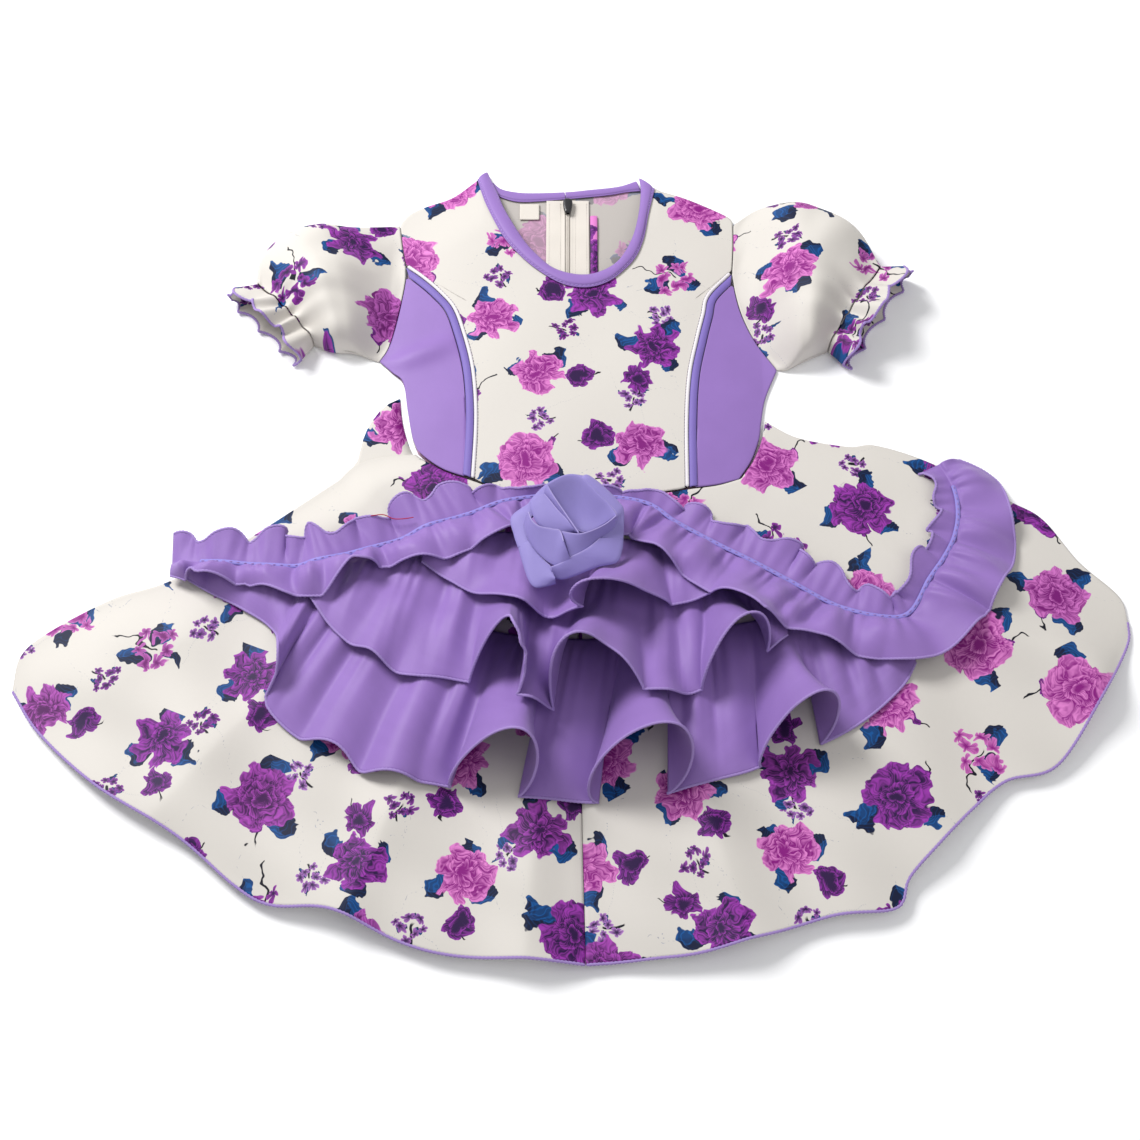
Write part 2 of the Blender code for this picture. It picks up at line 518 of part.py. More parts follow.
def build_tiers(lavender, pile):
    """Four tiers of ruffles, the lowest and widest first, each resting on the ones below."""
    tiers = [("tier_4", TIER_4_SEAM, TIER_4_HEM, TIER_4_FLUTES, 66, 6),
             ("tier_3", TIER_3_SEAM, TIER_3_HEM, TIER_3_FLUTES, 50, 6),
             ("tier_2", TIER_2_SEAM, TIER_2_HEM, TIER_2_FLUTES, 26, 4)]
    for name, seam_table, hem_table, flutes, across, down in tiers:
        seam, hem = joined(seam_table), joined(hem_table)
        length = np.linalg.norm(np.diff(hem, axis=0), axis=1).sum()
        surface = ruffle(seam, hem, flutes, pile.height, length)
        cloth_piece(name, evened(surface, across), across, down, lavender)
        pile.add(surface)

    line = spline([(station.x, station.y) for station in TIER_1_STATIONS], 200) * MM
    side = moved_in(line, 1) - line
    along = np.linspace(0, 1, 200)
    knots = np.array([(station.x, station.y) for station in TIER_1_STATIONS], float)
    places = np.concatenate([[0], np.cumsum(np.linalg.norm(np.diff(knots, axis=0), axis=1))])
    places = places / places[-1]
    heading = np.interp(along, places, [station.heading for station in TIER_1_STATIONS]) * MM
    frill = np.interp(along, places, [station.frill for station in TIER_1_STATIONS]) * MM
    length = np.linalg.norm(np.diff(line, axis=0), axis=1).sum()
    lower = ruffle(line, line - side * frill[:, None], TIER_1_FLUTES, pile.height, length)

    def top_tier(u, v):
        """v is 0 at the heading's edge, 0.25 on the gathering line and 1 at the hem."""
        up = np.clip(1 - v / 0.25, 0, 1)
        below = lower(u, np.clip((v - 0.25) / 0.75, 0, 1))
        shift = at(side * heading[:, None], u) * up[..., None]
        wave = 0.5 + 0.5 * np.sin(2 * np.pi * u * length / (HEADING_WAVE * MM))
        return below + lifted(shift, HEADING_RISE * MM * wave * up)
    steps, trimmed = 88, 3
    cloth_piece("tier_1", top_tier, steps, 4, lavender)

    def cord(u, v):
        """A flat cord along the gathering line, from the tier's own points moved out."""
        along = (trimmed + (steps - 2 * trimmed) * u) / steps
        up = (v - 0.5) * CORD_WIDTH
        above = np.interp(along, np.linspace(0, 1, 200), heading)
        below = np.interp(along, np.linspace(0, 1, 200), frill)
        row = 0.25 - up * np.where(up > 0, 0.25 / above, 0.75 / below)
        return top_tier(along, row) + lifted(np.zeros((*u.shape, 2)), CORD_RISE)
    cloth_piece("gathering_cord", cord, steps - 2 * trimmed, 1, lavender)
    pile.add(top_tier)


def build_rosette(periwinkle, pile):
    """Six bands of folded ribbon turn round a hollow centre, each on the last."""
    centre = np.array(ROSETTE_CENTRE)
    floor = pile.height(centre + np.array([[x, y] for x in (-0.02, 0, 0.02) for y in (-0.02, 0, 0.02)])).max()
    for number, petal in enumerate(PETALS, 1):
        def band(u, v, petal=petal):
            turn = np.radians(petal.start + petal.sweep * u)
            radius = (petal.inner + (petal.outer - petal.inner) * v) * MM
            corner = 1 - 0.07 * np.cos(3 * np.radians(petal.sweep) * (u - 0.5)) ** 2
            flat = centre + np.stack([np.cos(turn), np.sin(turn)], axis=-1) * (radius * corner)[..., None]
            rise = petal.base + petal.rise * (1 - v) * np.sin(np.pi * np.clip(v + 0.3, 0, 1))
            return lifted(flat, floor + LAYER_GAP + rise * MM)
        cloth_piece(f"rosette_band_{number}", band, 10, 3, periwinkle)


def sleeve_surface(top, bottom, elastic, armhole):
    """A puffed tube: u runs round it and v from the armhole to the elastic."""
    def surface(u, v):
        upper = u < 0.5
        turn = np.where(upper, u * 2, 2 - u * 2)
        across = (1 - np.cos(np.pi * turn)) / 2
        flat = patch(top, bottom, armhole, elastic, v, across)
        puff = ARMHOLE_RISE + SLEEVE_RISE * smooth(v * 2.2) * (1 - smooth((v - 0.55) / 0.45))
        puff = puff + CUFF_RISE * smooth(v * 1.4)
        fold = (turn < 0.01) | (turn > 0.99)
        arch = np.where(upper, np.sin(np.pi * np.clip(turn, 0, 1)) ** 0.5, 0)
        return lifted(flat, WALL / 2 + puff * np.where(fold, 0.17, arch))
    return surface


def build_sleeves(ivory):
    """Two puffed sleeves gathered by elastic, each with a waved frill beyond it."""
    sides = {"left": (SLEEVE_LEFT_TOP, SLEEVE_LEFT_BOTTOM, ARMHOLE_LEFT, UNDERARM_LEFT, -1),
             "right": (SLEEVE_RIGHT_TOP, SLEEVE_RIGHT_BOTTOM, ARMHOLE_RIGHT, UNDERARM_RIGHT, 1)}
    for side, (top_table, bottom_table, upper_armhole, under_armhole, hand) in sides.items():
        top, bottom = joined(top_table), joined(bottom_table)
        armhole = moved_in(joined(upper_armhole, under_armhole), hand * 1.5 * MM)
        armhole[0], armhole[-1] = top[0], bottom[0]
        elastic = evenly(np.array([top[-1], bottom[-1]]), 20)
        surface = sleeve_surface(top, bottom, elastic, armhole)
        cloth_piece(f"sleeve_{side}", surface, 20, 8, ivory, tube=True)

        run = elastic[-1] - elastic[0]
        out = np.array([run[1], -run[0]]) / np.linalg.norm(run) * -hand

        def frill(u, v, surface=surface, out=out, run=run):
            ring = surface(u, np.ones(u.shape))
            turn = np.where(u < 0.5, u * 2, 2 - u * 2)
            away = out * (1.2 * MM + FRILL_REACH * v[..., None])
            spread = run * ((1 - np.cos(np.pi * turn)) / 2 - 0.5)[..., None] * FRILL_SPREAD * v[..., None]
            wave = np.sin(2 * np.pi * CUFF_WAVES * u)
            flat = ring[..., :2] + away + spread
            loose = np.where(u < 0.5, 1, 0.3) * np.sqrt(np.abs(np.sin(np.pi * turn)))
            lift = CUFF_WAVE_HEIGHT * v * (1 + wave) * loose
            return lifted(flat, ring[..., 2] * (1 + 0.35 * v) + lift)
        cloth_piece(f"cuff_frill_{side}", frill, 40, 2, ivory, tube=True)


def build_dress():
    for item in list(bpy.data.objects):
        bpy.data.objects.remove(item, do_unlink=True)
    collection = bpy.data.collections.new("Floral dress")
    bpy.context.scene.collection.children.link(collection)
    ivory = material("Floral satin", IVORY, 0.45)
    lavender = material("Lavender satin", LAVENDER, 0.5)
    periwinkle = material("Periwinkle ribbon", PERIWINKLE, 0.55)
    white = material("White tape", WHITE, 0.7)
    black = material("Black enamel", BLACK, 0.35)
    pile = Pile()
    build_bodice(ivory, lavender, white, pile)
    build_zip(white, black)
    build_skirt(ivory, pile)
    build_tiers(lavender, pile)
    build_rosette(periwinkle, pile)
    build_sleeves(ivory)


build_dress()
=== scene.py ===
"""A toddler's floral dress with fluted ruffle tiers, laid flat on its back: its cloth, print and trims.

The tables are in millimetres from the waist's own axes, as in the part's source, and ORIGIN moves them
to the frame's origin. Each section makes one piece, or one group of like pieces, in sewing order.
"""
import math
from collections import namedtuple

import bpy
import numpy as np
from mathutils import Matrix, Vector


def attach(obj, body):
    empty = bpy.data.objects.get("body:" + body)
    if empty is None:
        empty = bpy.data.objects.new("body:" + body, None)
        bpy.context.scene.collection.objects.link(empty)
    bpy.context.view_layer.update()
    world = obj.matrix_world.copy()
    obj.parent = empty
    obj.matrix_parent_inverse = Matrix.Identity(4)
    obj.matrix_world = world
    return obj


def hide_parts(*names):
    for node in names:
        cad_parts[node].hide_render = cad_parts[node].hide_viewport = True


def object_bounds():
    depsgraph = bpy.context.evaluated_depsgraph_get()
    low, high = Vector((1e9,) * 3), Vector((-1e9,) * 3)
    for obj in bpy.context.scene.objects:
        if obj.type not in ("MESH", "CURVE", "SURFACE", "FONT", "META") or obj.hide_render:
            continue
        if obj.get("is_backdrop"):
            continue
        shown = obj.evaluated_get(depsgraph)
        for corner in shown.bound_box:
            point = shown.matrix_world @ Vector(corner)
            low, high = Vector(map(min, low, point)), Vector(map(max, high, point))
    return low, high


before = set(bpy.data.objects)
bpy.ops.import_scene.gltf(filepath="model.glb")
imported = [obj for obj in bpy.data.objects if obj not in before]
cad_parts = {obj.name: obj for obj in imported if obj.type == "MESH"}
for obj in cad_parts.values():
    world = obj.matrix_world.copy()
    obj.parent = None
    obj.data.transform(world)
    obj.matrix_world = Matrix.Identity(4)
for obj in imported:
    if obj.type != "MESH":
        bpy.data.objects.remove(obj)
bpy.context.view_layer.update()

# The table top, the light and the camera.
# The dress lies on a white table, seen from 62 degrees above the surface. A soft light stands behind
# it on the left and a weak one in front of it on the right, under an even pale sky.
VIEW_ELEVATION = math.radians(62)
VIEW_DISTANCE = 1.15
VIEW_CENTRE = Vector((-0.0035, -0.033, 0))
SENSOR_WIDTH = 36
LENS = 56.53
Lamp = namedtuple("Lamp", "name place size power")
LAMPS = [Lamp("key_light", (-0.95, 0.85, 1.25), 0.7, 34),
         Lamp("fill_light", (0.9, -0.5, 1.3), 1.2, 4)]
SKY_COLOUR = (0.97, 0.98, 1, 1)
SKY_STRENGTH = 0.52
TABLE_COLOUR = (1, 1, 1, 1)
TABLE_ROUGHNESS = 0.9

camera = bpy.data.objects.new("camera", bpy.data.cameras.new("camera"))
camera.data.sensor_width = SENSOR_WIDTH
camera.data.lens = LENS
towards_viewer = Vector((0, -math.cos(VIEW_ELEVATION), math.sin(VIEW_ELEVATION)))
camera.location = VIEW_CENTRE + VIEW_DISTANCE * towards_viewer
camera.rotation_euler = (math.pi / 2 - VIEW_ELEVATION, 0, 0)
bpy.context.scene.collection.objects.link(camera)
bpy.context.scene.camera = camera
bpy.context.scene.view_settings.view_transform = "Standard"

for lamp in LAMPS:
    light = bpy.data.objects.new(lamp.name, bpy.data.lights.new(lamp.name, "AREA"))
    light.data.size = lamp.size
    light.data.energy = lamp.power
    light.location = lamp.place
    light.rotation_euler = (-Vector(lamp.place)).to_track_quat("-Z", "Y").to_euler()
    bpy.context.scene.collection.objects.link(light)
world = bpy.data.worlds.new("studio")
bpy.context.scene.world = world
world.use_nodes = True
world.node_tree.nodes["Background"].inputs["Color"].default_value = SKY_COLOUR
world.node_tree.nodes["Background"].inputs["Strength"].default_value = SKY_STRENGTH

floor_mesh = bpy.data.meshes.new("table_top")
floor_mesh.from_pydata([(-4, -4, 0), (4, -4, 0), (4, 4, 0), (-4, 4, 0)], [], [(0, 1, 2, 3)])
table_top = bpy.data.objects.new("table_top", floor_mesh)
bpy.context.scene.collection.objects.link(table_top)
pale = bpy.data.materials.new("Pale table")
pale.use_nodes = True
pale.node_tree.nodes["Principled BSDF"].inputs["Base Color"].default_value = TABLE_COLOUR
pale.node_tree.nodes["Principled BSDF"].inputs["Roughness"].default_value = TABLE_ROUGHNESS
floor_mesh.materials.append(pale)
table_top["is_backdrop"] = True

# The back bodice.
# Two halves of ivory satin that lie on the table. Their wrong side shows through the neck, where the
# flower print is dull. This section also holds how any piece of this dress is cut, and its print.
MM = 0.001
ORIGIN = np.array([0.0035, 0.033, 0.0])
WALL = 0.001
SEAM = 0.0003
CURVE_POINTS = 385
RUN_POINTS = 96
SPAN_STEPS = 24
ZIP_LINE = -0.0016
SHOULDER_LEFT = [(-67, 318), (-84, 302), (-103, 294), (-115, 287), (-121, 278)]
SHOULDER_RIGHT = [(61, 308), (80, 302), (97, 294), (114, 284), (116, 279)]
ARMHOLE_LEFT = [(-121, 278), (-118, 256), (-115, 239)]
ARMHOLE_RIGHT = [(116, 279), (115, 256), (113, 232)]
UNDERARM_LEFT = [(-115, 239), (-115, 225), (-119, 195), (-124, 172), (-130, 160)]
UNDERARM_RIGHT = [(113, 232), (115, 214), (119, 196), (127, 176), (141, 153)]
SIDE_LEFT = [(-130, 160), (-121, 151), (-113, 142), (-109, 119), (-105, 98), (-101, 87)]
SIDE_RIGHT = [(141, 153), (132, 130), (128, 110), (126, 97), (120, 80), (111, 65)]
WAIST_LEFT = [(-101, 87), (-93, 79), (-82, 71), (-65, 64)]
WAIST_CENTRE = [(-65, 64), (-43, 55), (-20, 48), (3, 45), (26, 47), (46, 51), (78, 57)]
WAIST_RIGHT = [(78, 57), (96, 60), (111, 65)]
BACK_NECK_EDGE = [(-67, 318), (-56, 312), (-45, 305), (-34, 303), (-2, 304), (26, 309), (44, 313), (61, 308)]


def distances(curve):
    """How far along a curve each of its points is: the sum of the straight steps before it."""
    steps = np.linalg.norm(np.diff(curve, axis=0), axis=1)
    return np.concatenate([[0], np.cumsum(steps)])


def unit(vectors):
    """Vectors divided by their lengths."""
    return vectors / np.maximum(np.linalg.norm(vectors, axis=-1), 1e-9)[..., None]


def evenly(curve, count):
    """The same curve with evenly spaced points, by linear steps along its length."""
    along = distances(curve)
    wanted = np.linspace(0, along[-1], count)
    return np.stack([np.interp(wanted, along, column) for column in curve.T], axis=1)


def spline(points, count):
    """A Catmull-Rom curve through the points: each span is a cubic in its four nearest points."""
    knots = np.array(points, float)
    padded = np.vstack([2 * knots[0] - knots[1], knots, 2 * knots[-1] - knots[-2]])
    t = np.linspace(0, 1, SPAN_STEPS, endpoint=False)[:, None]
    spans = []
    for i in range(len(knots) - 1):
        a, b, c, d = padded[i:i + 4]
        spans.append(0.5 * (2 * b + (c - a) * t + (2 * a - 5 * b + 4 * c - d) * t ** 2
                            + (3 * b - a - 3 * c + d) * t ** 3))
    return evenly(np.vstack(spans + [knots[-1:]]), count)


def joined(*runs):
    """Smooth runs that meet at sharp corners, in metres."""
    return evenly(np.vstack([spline(run, RUN_POINTS) for run in runs]), CURVE_POINTS) * MM


def moved_in(curve, distance):
    """A flat curve moved along its normal, which is its direction turned a quarter to the left."""
    along = np.gradient(curve, axis=0)
    side = np.stack([-along[:, 1], along[:, 0]], axis=1)
    return curve + unit(side) * distance


def at(curve, u):
    """Places on an evenly spaced curve, for fractions from 0 to 1."""
    places = np.clip(u, 0, 1) * (len(curve) - 1)
    return np.stack([np.interp(places, np.arange(len(curve)), column) for column in curve.T], axis=-1)


def fitted(curve, start, end):
    """The curve eased sideways so that it runs from one place to another."""
    along = np.linspace(0, 1, len(curve))[:, None]
    return curve + (1 - along) * (start - curve[0]) + along * (end - curve[-1])


def between(near, far, share):
    """Places a share of the way from some places to others."""
    return near * (1 - share[..., None]) + far * share[..., None]


def patch(top, bottom, left, right, u, v):
    """A Coons patch: the edges blended both ways, less the bilinear blend of the four corners."""
    a, b = u[..., None], v[..., None]
    left = fitted(left, top[0], bottom[0])
    right = fitted(right, top[-1], bottom[-1])
    corners = ((1 - a) * (1 - b) * top[0] + a * (1 - b) * top[-1]
               + (1 - a) * b * bottom[0] + a * b * bottom[-1])
    return (1 - b) * at(top, u) + b * at(bottom, u) + (1 - a) * at(left, v) + a * at(right, v) - corners


def smooth(x):
    """0 below 0, 1 above 1, and 3x^2 - 2x^3 between them."""
    x = np.clip(x, 0, 1)
    return x * x * (3 - 2 * x)


def lifted(flat, height):
    """Flat places given a height."""
    return np.concatenate([flat, np.broadcast_to(height, flat.shape[:-1])[..., None]], axis=-1)


def laid_out(points, turn, shift):
    """The cloth's own coordinates as it lies: the plan turned by an angle in degrees, then moved."""
    c, s = math.cos(math.radians(turn)), math.sin(math.radians(turn))
    return points[..., :2] @ np.array([[c, s], [-s, c]]) + shift


def measured(points):
    """The cloth's own coordinates where it curves: lengths run along the grid's rows and columns."""
    rows = np.linalg.norm(np.diff(points, axis=0), axis=-1)
    columns = np.linalg.norm(np.diff(points, axis=1), axis=-1)
    x = np.concatenate([np.zeros((1, points.shape[1])), np.cumsum(rows, axis=0)])
    y = np.concatenate([np.zeros((points.shape[0], 1)), np.cumsum(columns, axis=1)], axis=1)
    return np.stack([x - x[-1:] / 2, -y], axis=-1)


def quads(index):
    """The four corners of every cell in a grid of point numbers, or in a stack of such grids."""
    corners = [index[..., :-1, :-1], index[..., :-1, 1:], index[..., 1:, 1:], index[..., 1:, :-1]]
    return np.stack(corners, axis=-1).reshape(-1, 4)


def add_piece(name, mesh, material):
    """Put a mesh in the scene, smooth and in its material, as a piece that rides on the dress."""
    mesh.materials.append(material)
    mesh.shade_smooth()
    piece = bpy.data.objects.new(name, mesh)
    bpy.context.scene.collection.objects.link(piece)
    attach(piece, "root")
    return piece


def grid_piece(name, points, cloth_places, material, round_u=False, round_v=False):
    """A mesh from a grid of points, with the cloth's own coordinates in its UV map. A grid that is
    round one way joins its last points to its first."""
    across, down = points.shape[:2]
    index = np.arange(across * down).reshape(across, down)
    if round_u:
        index = np.vstack([index, index[:1]])
    if round_v:
        index = np.hstack([index, index[:, :1]])
    mesh = bpy.data.meshes.new(name)
    mesh.from_pydata((points - ORIGIN).reshape(-1, 3), [], quads(index)[:, ::-1].tolist())
    uv = mesh.uv_layers.new(name="Cloth")
    corners = np.empty(len(mesh.loops), int)
    mesh.loops.foreach_get("vertex_index", corners)
    uv.data.foreach_set("uv", cloth_places.reshape(-1, 2)[corners].astype(np.float32).ravel())
    return add_piece(name, mesh, material)


def grid(across, down):
    """Fractions on a grid, u from 0 to 1 over its rows and v over its columns."""
    return np.meshgrid(np.linspace(0, 1, across + 1), np.linspace(0, 1, down + 1), indexing="ij")


def cloth_piece(name, surface, across, down, material, layout=None, wall=0.5 * MM, node=True):
    """A thin wall of cloth along a surface, which is a function of two fractions. It stands for the
    part's node of the same name, unless it has none."""
    points = surface(*grid(across, down))
    places = measured(points) if layout is None else laid_out(points, *layout)
    piece = grid_piece(name + "_cloth", points, places, material)
    solid = piece.modifiers.new("Cloth wall", "SOLIDIFY")
    solid.thickness = wall
    solid.offset = 0
    if node:
        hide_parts(name)
    return piece


class Wire:
    """A shader socket. A sum written with wires adds its Math nodes to the socket's tree."""

    def __init__(self, socket):
        self.socket = socket

    def node(self, kind, settings, sockets, out=0):
        """Add a node of a kind: its settings are set first, then its sockets get their values or links."""
        tree = self.socket.id_data
        made = tree.nodes.new("ShaderNode" + kind)
        for name, value in settings.items():
            if name == "stops":
                while len(made.color_ramp.elements) < len(value):
                    made.color_ramp.elements.new(1)
                for element, (place, colour) in zip(made.color_ramp.elements, value):
                    element.position = place
                    element.color = (*colour, 1)
            else:
                setattr(made, name, value)
        for name, value in sockets.items():
            if isinstance(value, Wire):
                tree.links.new(value.socket, made.inputs[name])
            else:
                made.inputs[name].default_value = value
        return Wire(made.outputs[out])

    def other(self, out):
        """Another output of the node that this wire comes from."""
        return Wire(self.socket.node.outputs[out])

    def math(self, operation, *others):
        """A Math node, with this wire first."""
        return self.node("Math", {"operation": operation}, dict(enumerate([self, *others])))

    def vector(self, operation, other):
        """A Vector Math node, with this wire first."""
        return self.node("VectorMath", {"operation": operation}, {0: self, 1: other})

    def mix(self, low, high):
        """A colour between two, with this wire as the share of the second."""
        return self.node("Mix", {"data_type": "RGBA"}, {0: self, 6: low, 7: high}, out=2)

    def step(self, low, high):
        """An eased step from 0 at low to 1 at high."""
        return self.node("MapRange", {"interpolation_type": "SMOOTHSTEP"},
                         {"Value": self, "From Min": low, "From Max": high})

    def xy(self):
        """The first two coordinates of a vector."""
        x = self.node("SeparateXYZ", {}, {0: self})
        return x, x.other(1)

    def noise(self, scale, detail=2.0):
        """Flat noise round 0.5, with this wire as the place."""
        return self.node("TexNoise", {"noise_dimensions": "2D"},
                         {"Vector": self, "Scale": scale, "Detail": detail})

    def __add__(self, other):
        return self.math("ADD", other)

    def __sub__(self, other):
        return self.math("SUBTRACT", other)

    def __rsub__(self, other):
        return self.node("Math", {"operation": "SUBTRACT"}, {0: other, 1: self})

    def __mul__(self, other):
        return self.math("MULTIPLY", other)

    def __truediv__(self, other):
        return self.math("DIVIDE", other)

    def __pow__(self, other):
        return self.math("POWER", other)

    def __abs__(self):
        return self.math("ABSOLUTE")

    __radd__ = __add__
    __rmul__ = __mul__


def rgb(red, green, blue):
    """A colour given as it looks on a screen, from 0 to 255, in linear light."""
    seen = np.array([red, green, blue]) / 255
    linear = np.where(seen <= 0.04045, seen / 12.92, ((seen + 0.055) / 1.055) ** 2.4)
    return (*linear.tolist(), 1.0)


SATIN_SPECULAR = 0.22
SHEEN_ROUGHNESS = 0.4
WEAVE_STRENGTH = 0.35
SLUB_SCALE = 260
SLUB_HEIGHT = 2.4


def new_material(name, roughness, sheen=0.0):
    """A Principled material, its shader, and a wire with the cloth's own coordinates in metres."""
    made = bpy.data.materials.new(name)
    made.use_nodes = True
    shader = made.node_tree.nodes["Principled BSDF"]
    shader.inputs["Specular IOR Level"].default_value = SATIN_SPECULAR
    shader.inputs["Roughness"].default_value = roughness
    shader.inputs["Sheen Weight"].default_value = sheen
    shader.inputs["Sheen Roughness"].default_value = SHEEN_ROUGHNESS
    own = made.node_tree.nodes.new("ShaderNodeUVMap")
    own.uv_map = "Cloth"
    return made, shader, Wire(own.outputs["UV"])


def connect(wire, shader, socket):
    """Feed a wire into one of a shader's sockets."""
    wire.socket.id_data.links.new(wire.socket, shader.inputs[socket])


def woven(shader, places, pitch, depth):
    """Fine relief of a weave: threads as two crossed waves, with a soft unevenness between them."""
    x, y = places.xy()
    turn = 2 * math.pi / pitch
    threads = (x * turn).math("SINE") * (y * turn).math("SINE")
    relief = threads + places.noise(SLUB_SCALE) * SLUB_HEIGHT
    bump = places.node("Bump", {}, {"Strength": WEAVE_STRENGTH, "Distance": depth, "Height": relief})
    connect(bump, shader, "Normal")


def mottled(places, colour, scale, depth):
    """A dye's faint unevenness: noise between the colour and one that is darker by the share depth."""
    darker = [part * (1 - depth) for part in colour[:3]] + [1]
    return places.noise(scale).mix(darker, colour)


PINK = rgb(212, 122, 192)
MAGENTA = rgb(128, 18, 118)
VIOLET = rgb(140, 46, 156)
ORCHID = rgb(150, 52, 164)
LILAC = rgb(188, 130, 208)
INK_PLUM = rgb(38, 6, 62)
NAVY = rgb(6, 18, 50)
TEAL = rgb(12, 84, 152)
STEM = rgb(8, 10, 26)
PITCH_ACROSS = 68.0
PITCH_DOWN = 60.0
ROSES_BELOW = 0.39
PAIRS_BELOW = 0.75
EASE = 0.01
ROSE_RADIUS = 21.5
OPEN_RADIUS = 19
DARK_RADIUS = 10.5
BUD_RADIUS = 5
CLUSTER_RADIUS = 17
SPRIG_RADIUS = 10
FLORET = 9.6
LITTLE_FLORET = 5.8
NO_RADIUS = 0.01


def polar(place):
    """Distance from the middle, and the bearing in radians."""
    x, y = place.xy()
    return (x * x + y * y) ** 0.5, y.math("ARCTAN2", x)


def bloom(ground, place, radius, petals, depth, rings, dark, light):
    """Rings of petals laid over each other. Each rim swells at the middle of a petal by the share depth
    of its radius, and the colour runs from dark beside the next ring to light at the rim, with veins."""
    reach, bearing = polar(place)
    rough = place.noise(0.17)
    reach = reach / radius * (0.86 + rough * 0.28)
    veins = (bearing * 30 + rough * 22).math("SINE") * 0.26
    colour = ground
    for size, turn in rings:
        swell = abs((bearing * petals * 0.5 + turn).math("COSINE")) ** 0.55
        along = reach / (swell * depth * size + (1 - depth) * size)
        shade = (along - 0.6) * 2.5 * (swell * 0.8 + 0.2) + veins
        colour = along.step(1.0, 0.96).mix(colour, shade.mix(dark, light))
    return colour


def leaves(ground, place, seed, start, length, width):
    """Up to three leaves round the middle, one in each third of the turn, bent and veined."""
    reach, bearing = polar(place)
    third = 2 * math.pi / 3
    sector = (bearing / third).math("FLOOR")
    turned = bearing - (sector + 0.5) * third
    chance = place.node("TexWhiteNoise", {"noise_dimensions": "2D"},
                        {"Vector": seed.vector("ADD", sector.node("CombineXYZ", {}, {0: sector * 7.3}))})
    along = (reach * turned.math("COSINE") - start) / (length * (0.6 + chance * 0.4))
    across = reach * turned.math("SINE") + along * along * (chance - 0.5) * 14
    half = ((along * (1 - along)).math("MAXIMUM", 0) ** 0.6) * (1 - along * 0.35) * width
    ragged = (along * 31).math("SINE") * 0.3
    inside = (half + ragged - abs(across)).step(0.0, 0.45) * chance.step(0.15, 0.17) * along.step(0, 0.05)
    veins = (along * 40 + abs(across) * 1.5).math("SINE").step(0.2, 1.0) * 0.4
    rib = abs(across).step(0.7, 0.1) * 0.35
    return inside.mix(ground, (veins + rib + across.step(3.0, -3.0) * 0.7 - 0.25).mix(NAVY, TEAL))


def sprig(ground, place, radius, size, dark, light):
    """A cluster of five-petalled florets, one round each seed point within a radius."""
    seeds = place.node("TexVoronoi", {"voronoi_dimensions": "2D"},
                       {"Vector": place, "Scale": 1 / size, "Randomness": 0.8}, out=2)
    reach, bearing = polar(place.vector("SUBTRACT", seeds))
    within = seeds.node("VectorMath", {"operation": "LENGTH"}, {0: seeds}, out=1)
    swell = abs((bearing * 2.5 + seeds.other(0)).math("COSINE")) ** 0.45
    along = reach / size / (swell * 0.36 + 0.2)
    shade = (along - 0.2) * 1.1 + (bearing * 20).math("SINE") * 0.12
    mask = along.step(1.0, 0.88) * within.step(radius, radius - 0.4)
    return mask.mix(ground, shade.mix(dark, light))


def stem(ground, place, length, bow):
    """A thin dark stem that runs out of the middle and bows sideways as a parabola."""
    x, y = place.xy()
    off = abs(y - x * x * bow)
    mask = off.step(0.9, 0.55) * x.step(0, 1) * x.step(length, length - 1)
    return mask.mix(ground, STEM)


def tossed(places, ahead, above, drawn):
    """Staggered rows of cells, moved by shares of a cell: the cell, three chances of its own, and the
    place in it in millimetres, turned by the second chance and drawn out of true by noise."""
    x, y = places.vector("MULTIPLY", (1000 / PITCH_ACROSS, 1000 / PITCH_DOWN, 0)).xy()
    y = y + above
    row = y.math("FLOOR")
    shifted = x + ahead + row.math("FLOORED_MODULO", 2) * 0.5
    column = shifted.math("FLOOR")
    cell = column.node("CombineXYZ", {}, {0: column, 1: row})
    noise = cell.node("TexWhiteNoise", {"noise_dimensions": "2D"}, {"Vector": cell}, out=1)
    chances = [noise.node("SeparateColor", {}, {0: noise}, out=k) for k in range(3)]
    px = (shifted - column - 0.5) * PITCH_ACROSS + (chances[1] - 0.5) * 7
    py = (y - row - 0.5) * PITCH_DOWN + (chances[2] - 0.5) * 6
    flat = px.node("CombineXYZ", {}, {0: px, 1: py})
    turned = flat.node("VectorRotate", {"rotation_type": "Z_AXIS"},
                       {"Vector": flat, "Angle": chances[1] * 40})
    drift = places.vector("MULTIPLY", (1000, 1000, 0)).noise(0.085, 1.5).other(1)
    drift = drift.vector("SUBTRACT", (0.5, 0.5, 0.5)).vector("MULTIPLY", (drawn, drawn, 0))
    return cell, chances, turned.vector("ADD", drift)


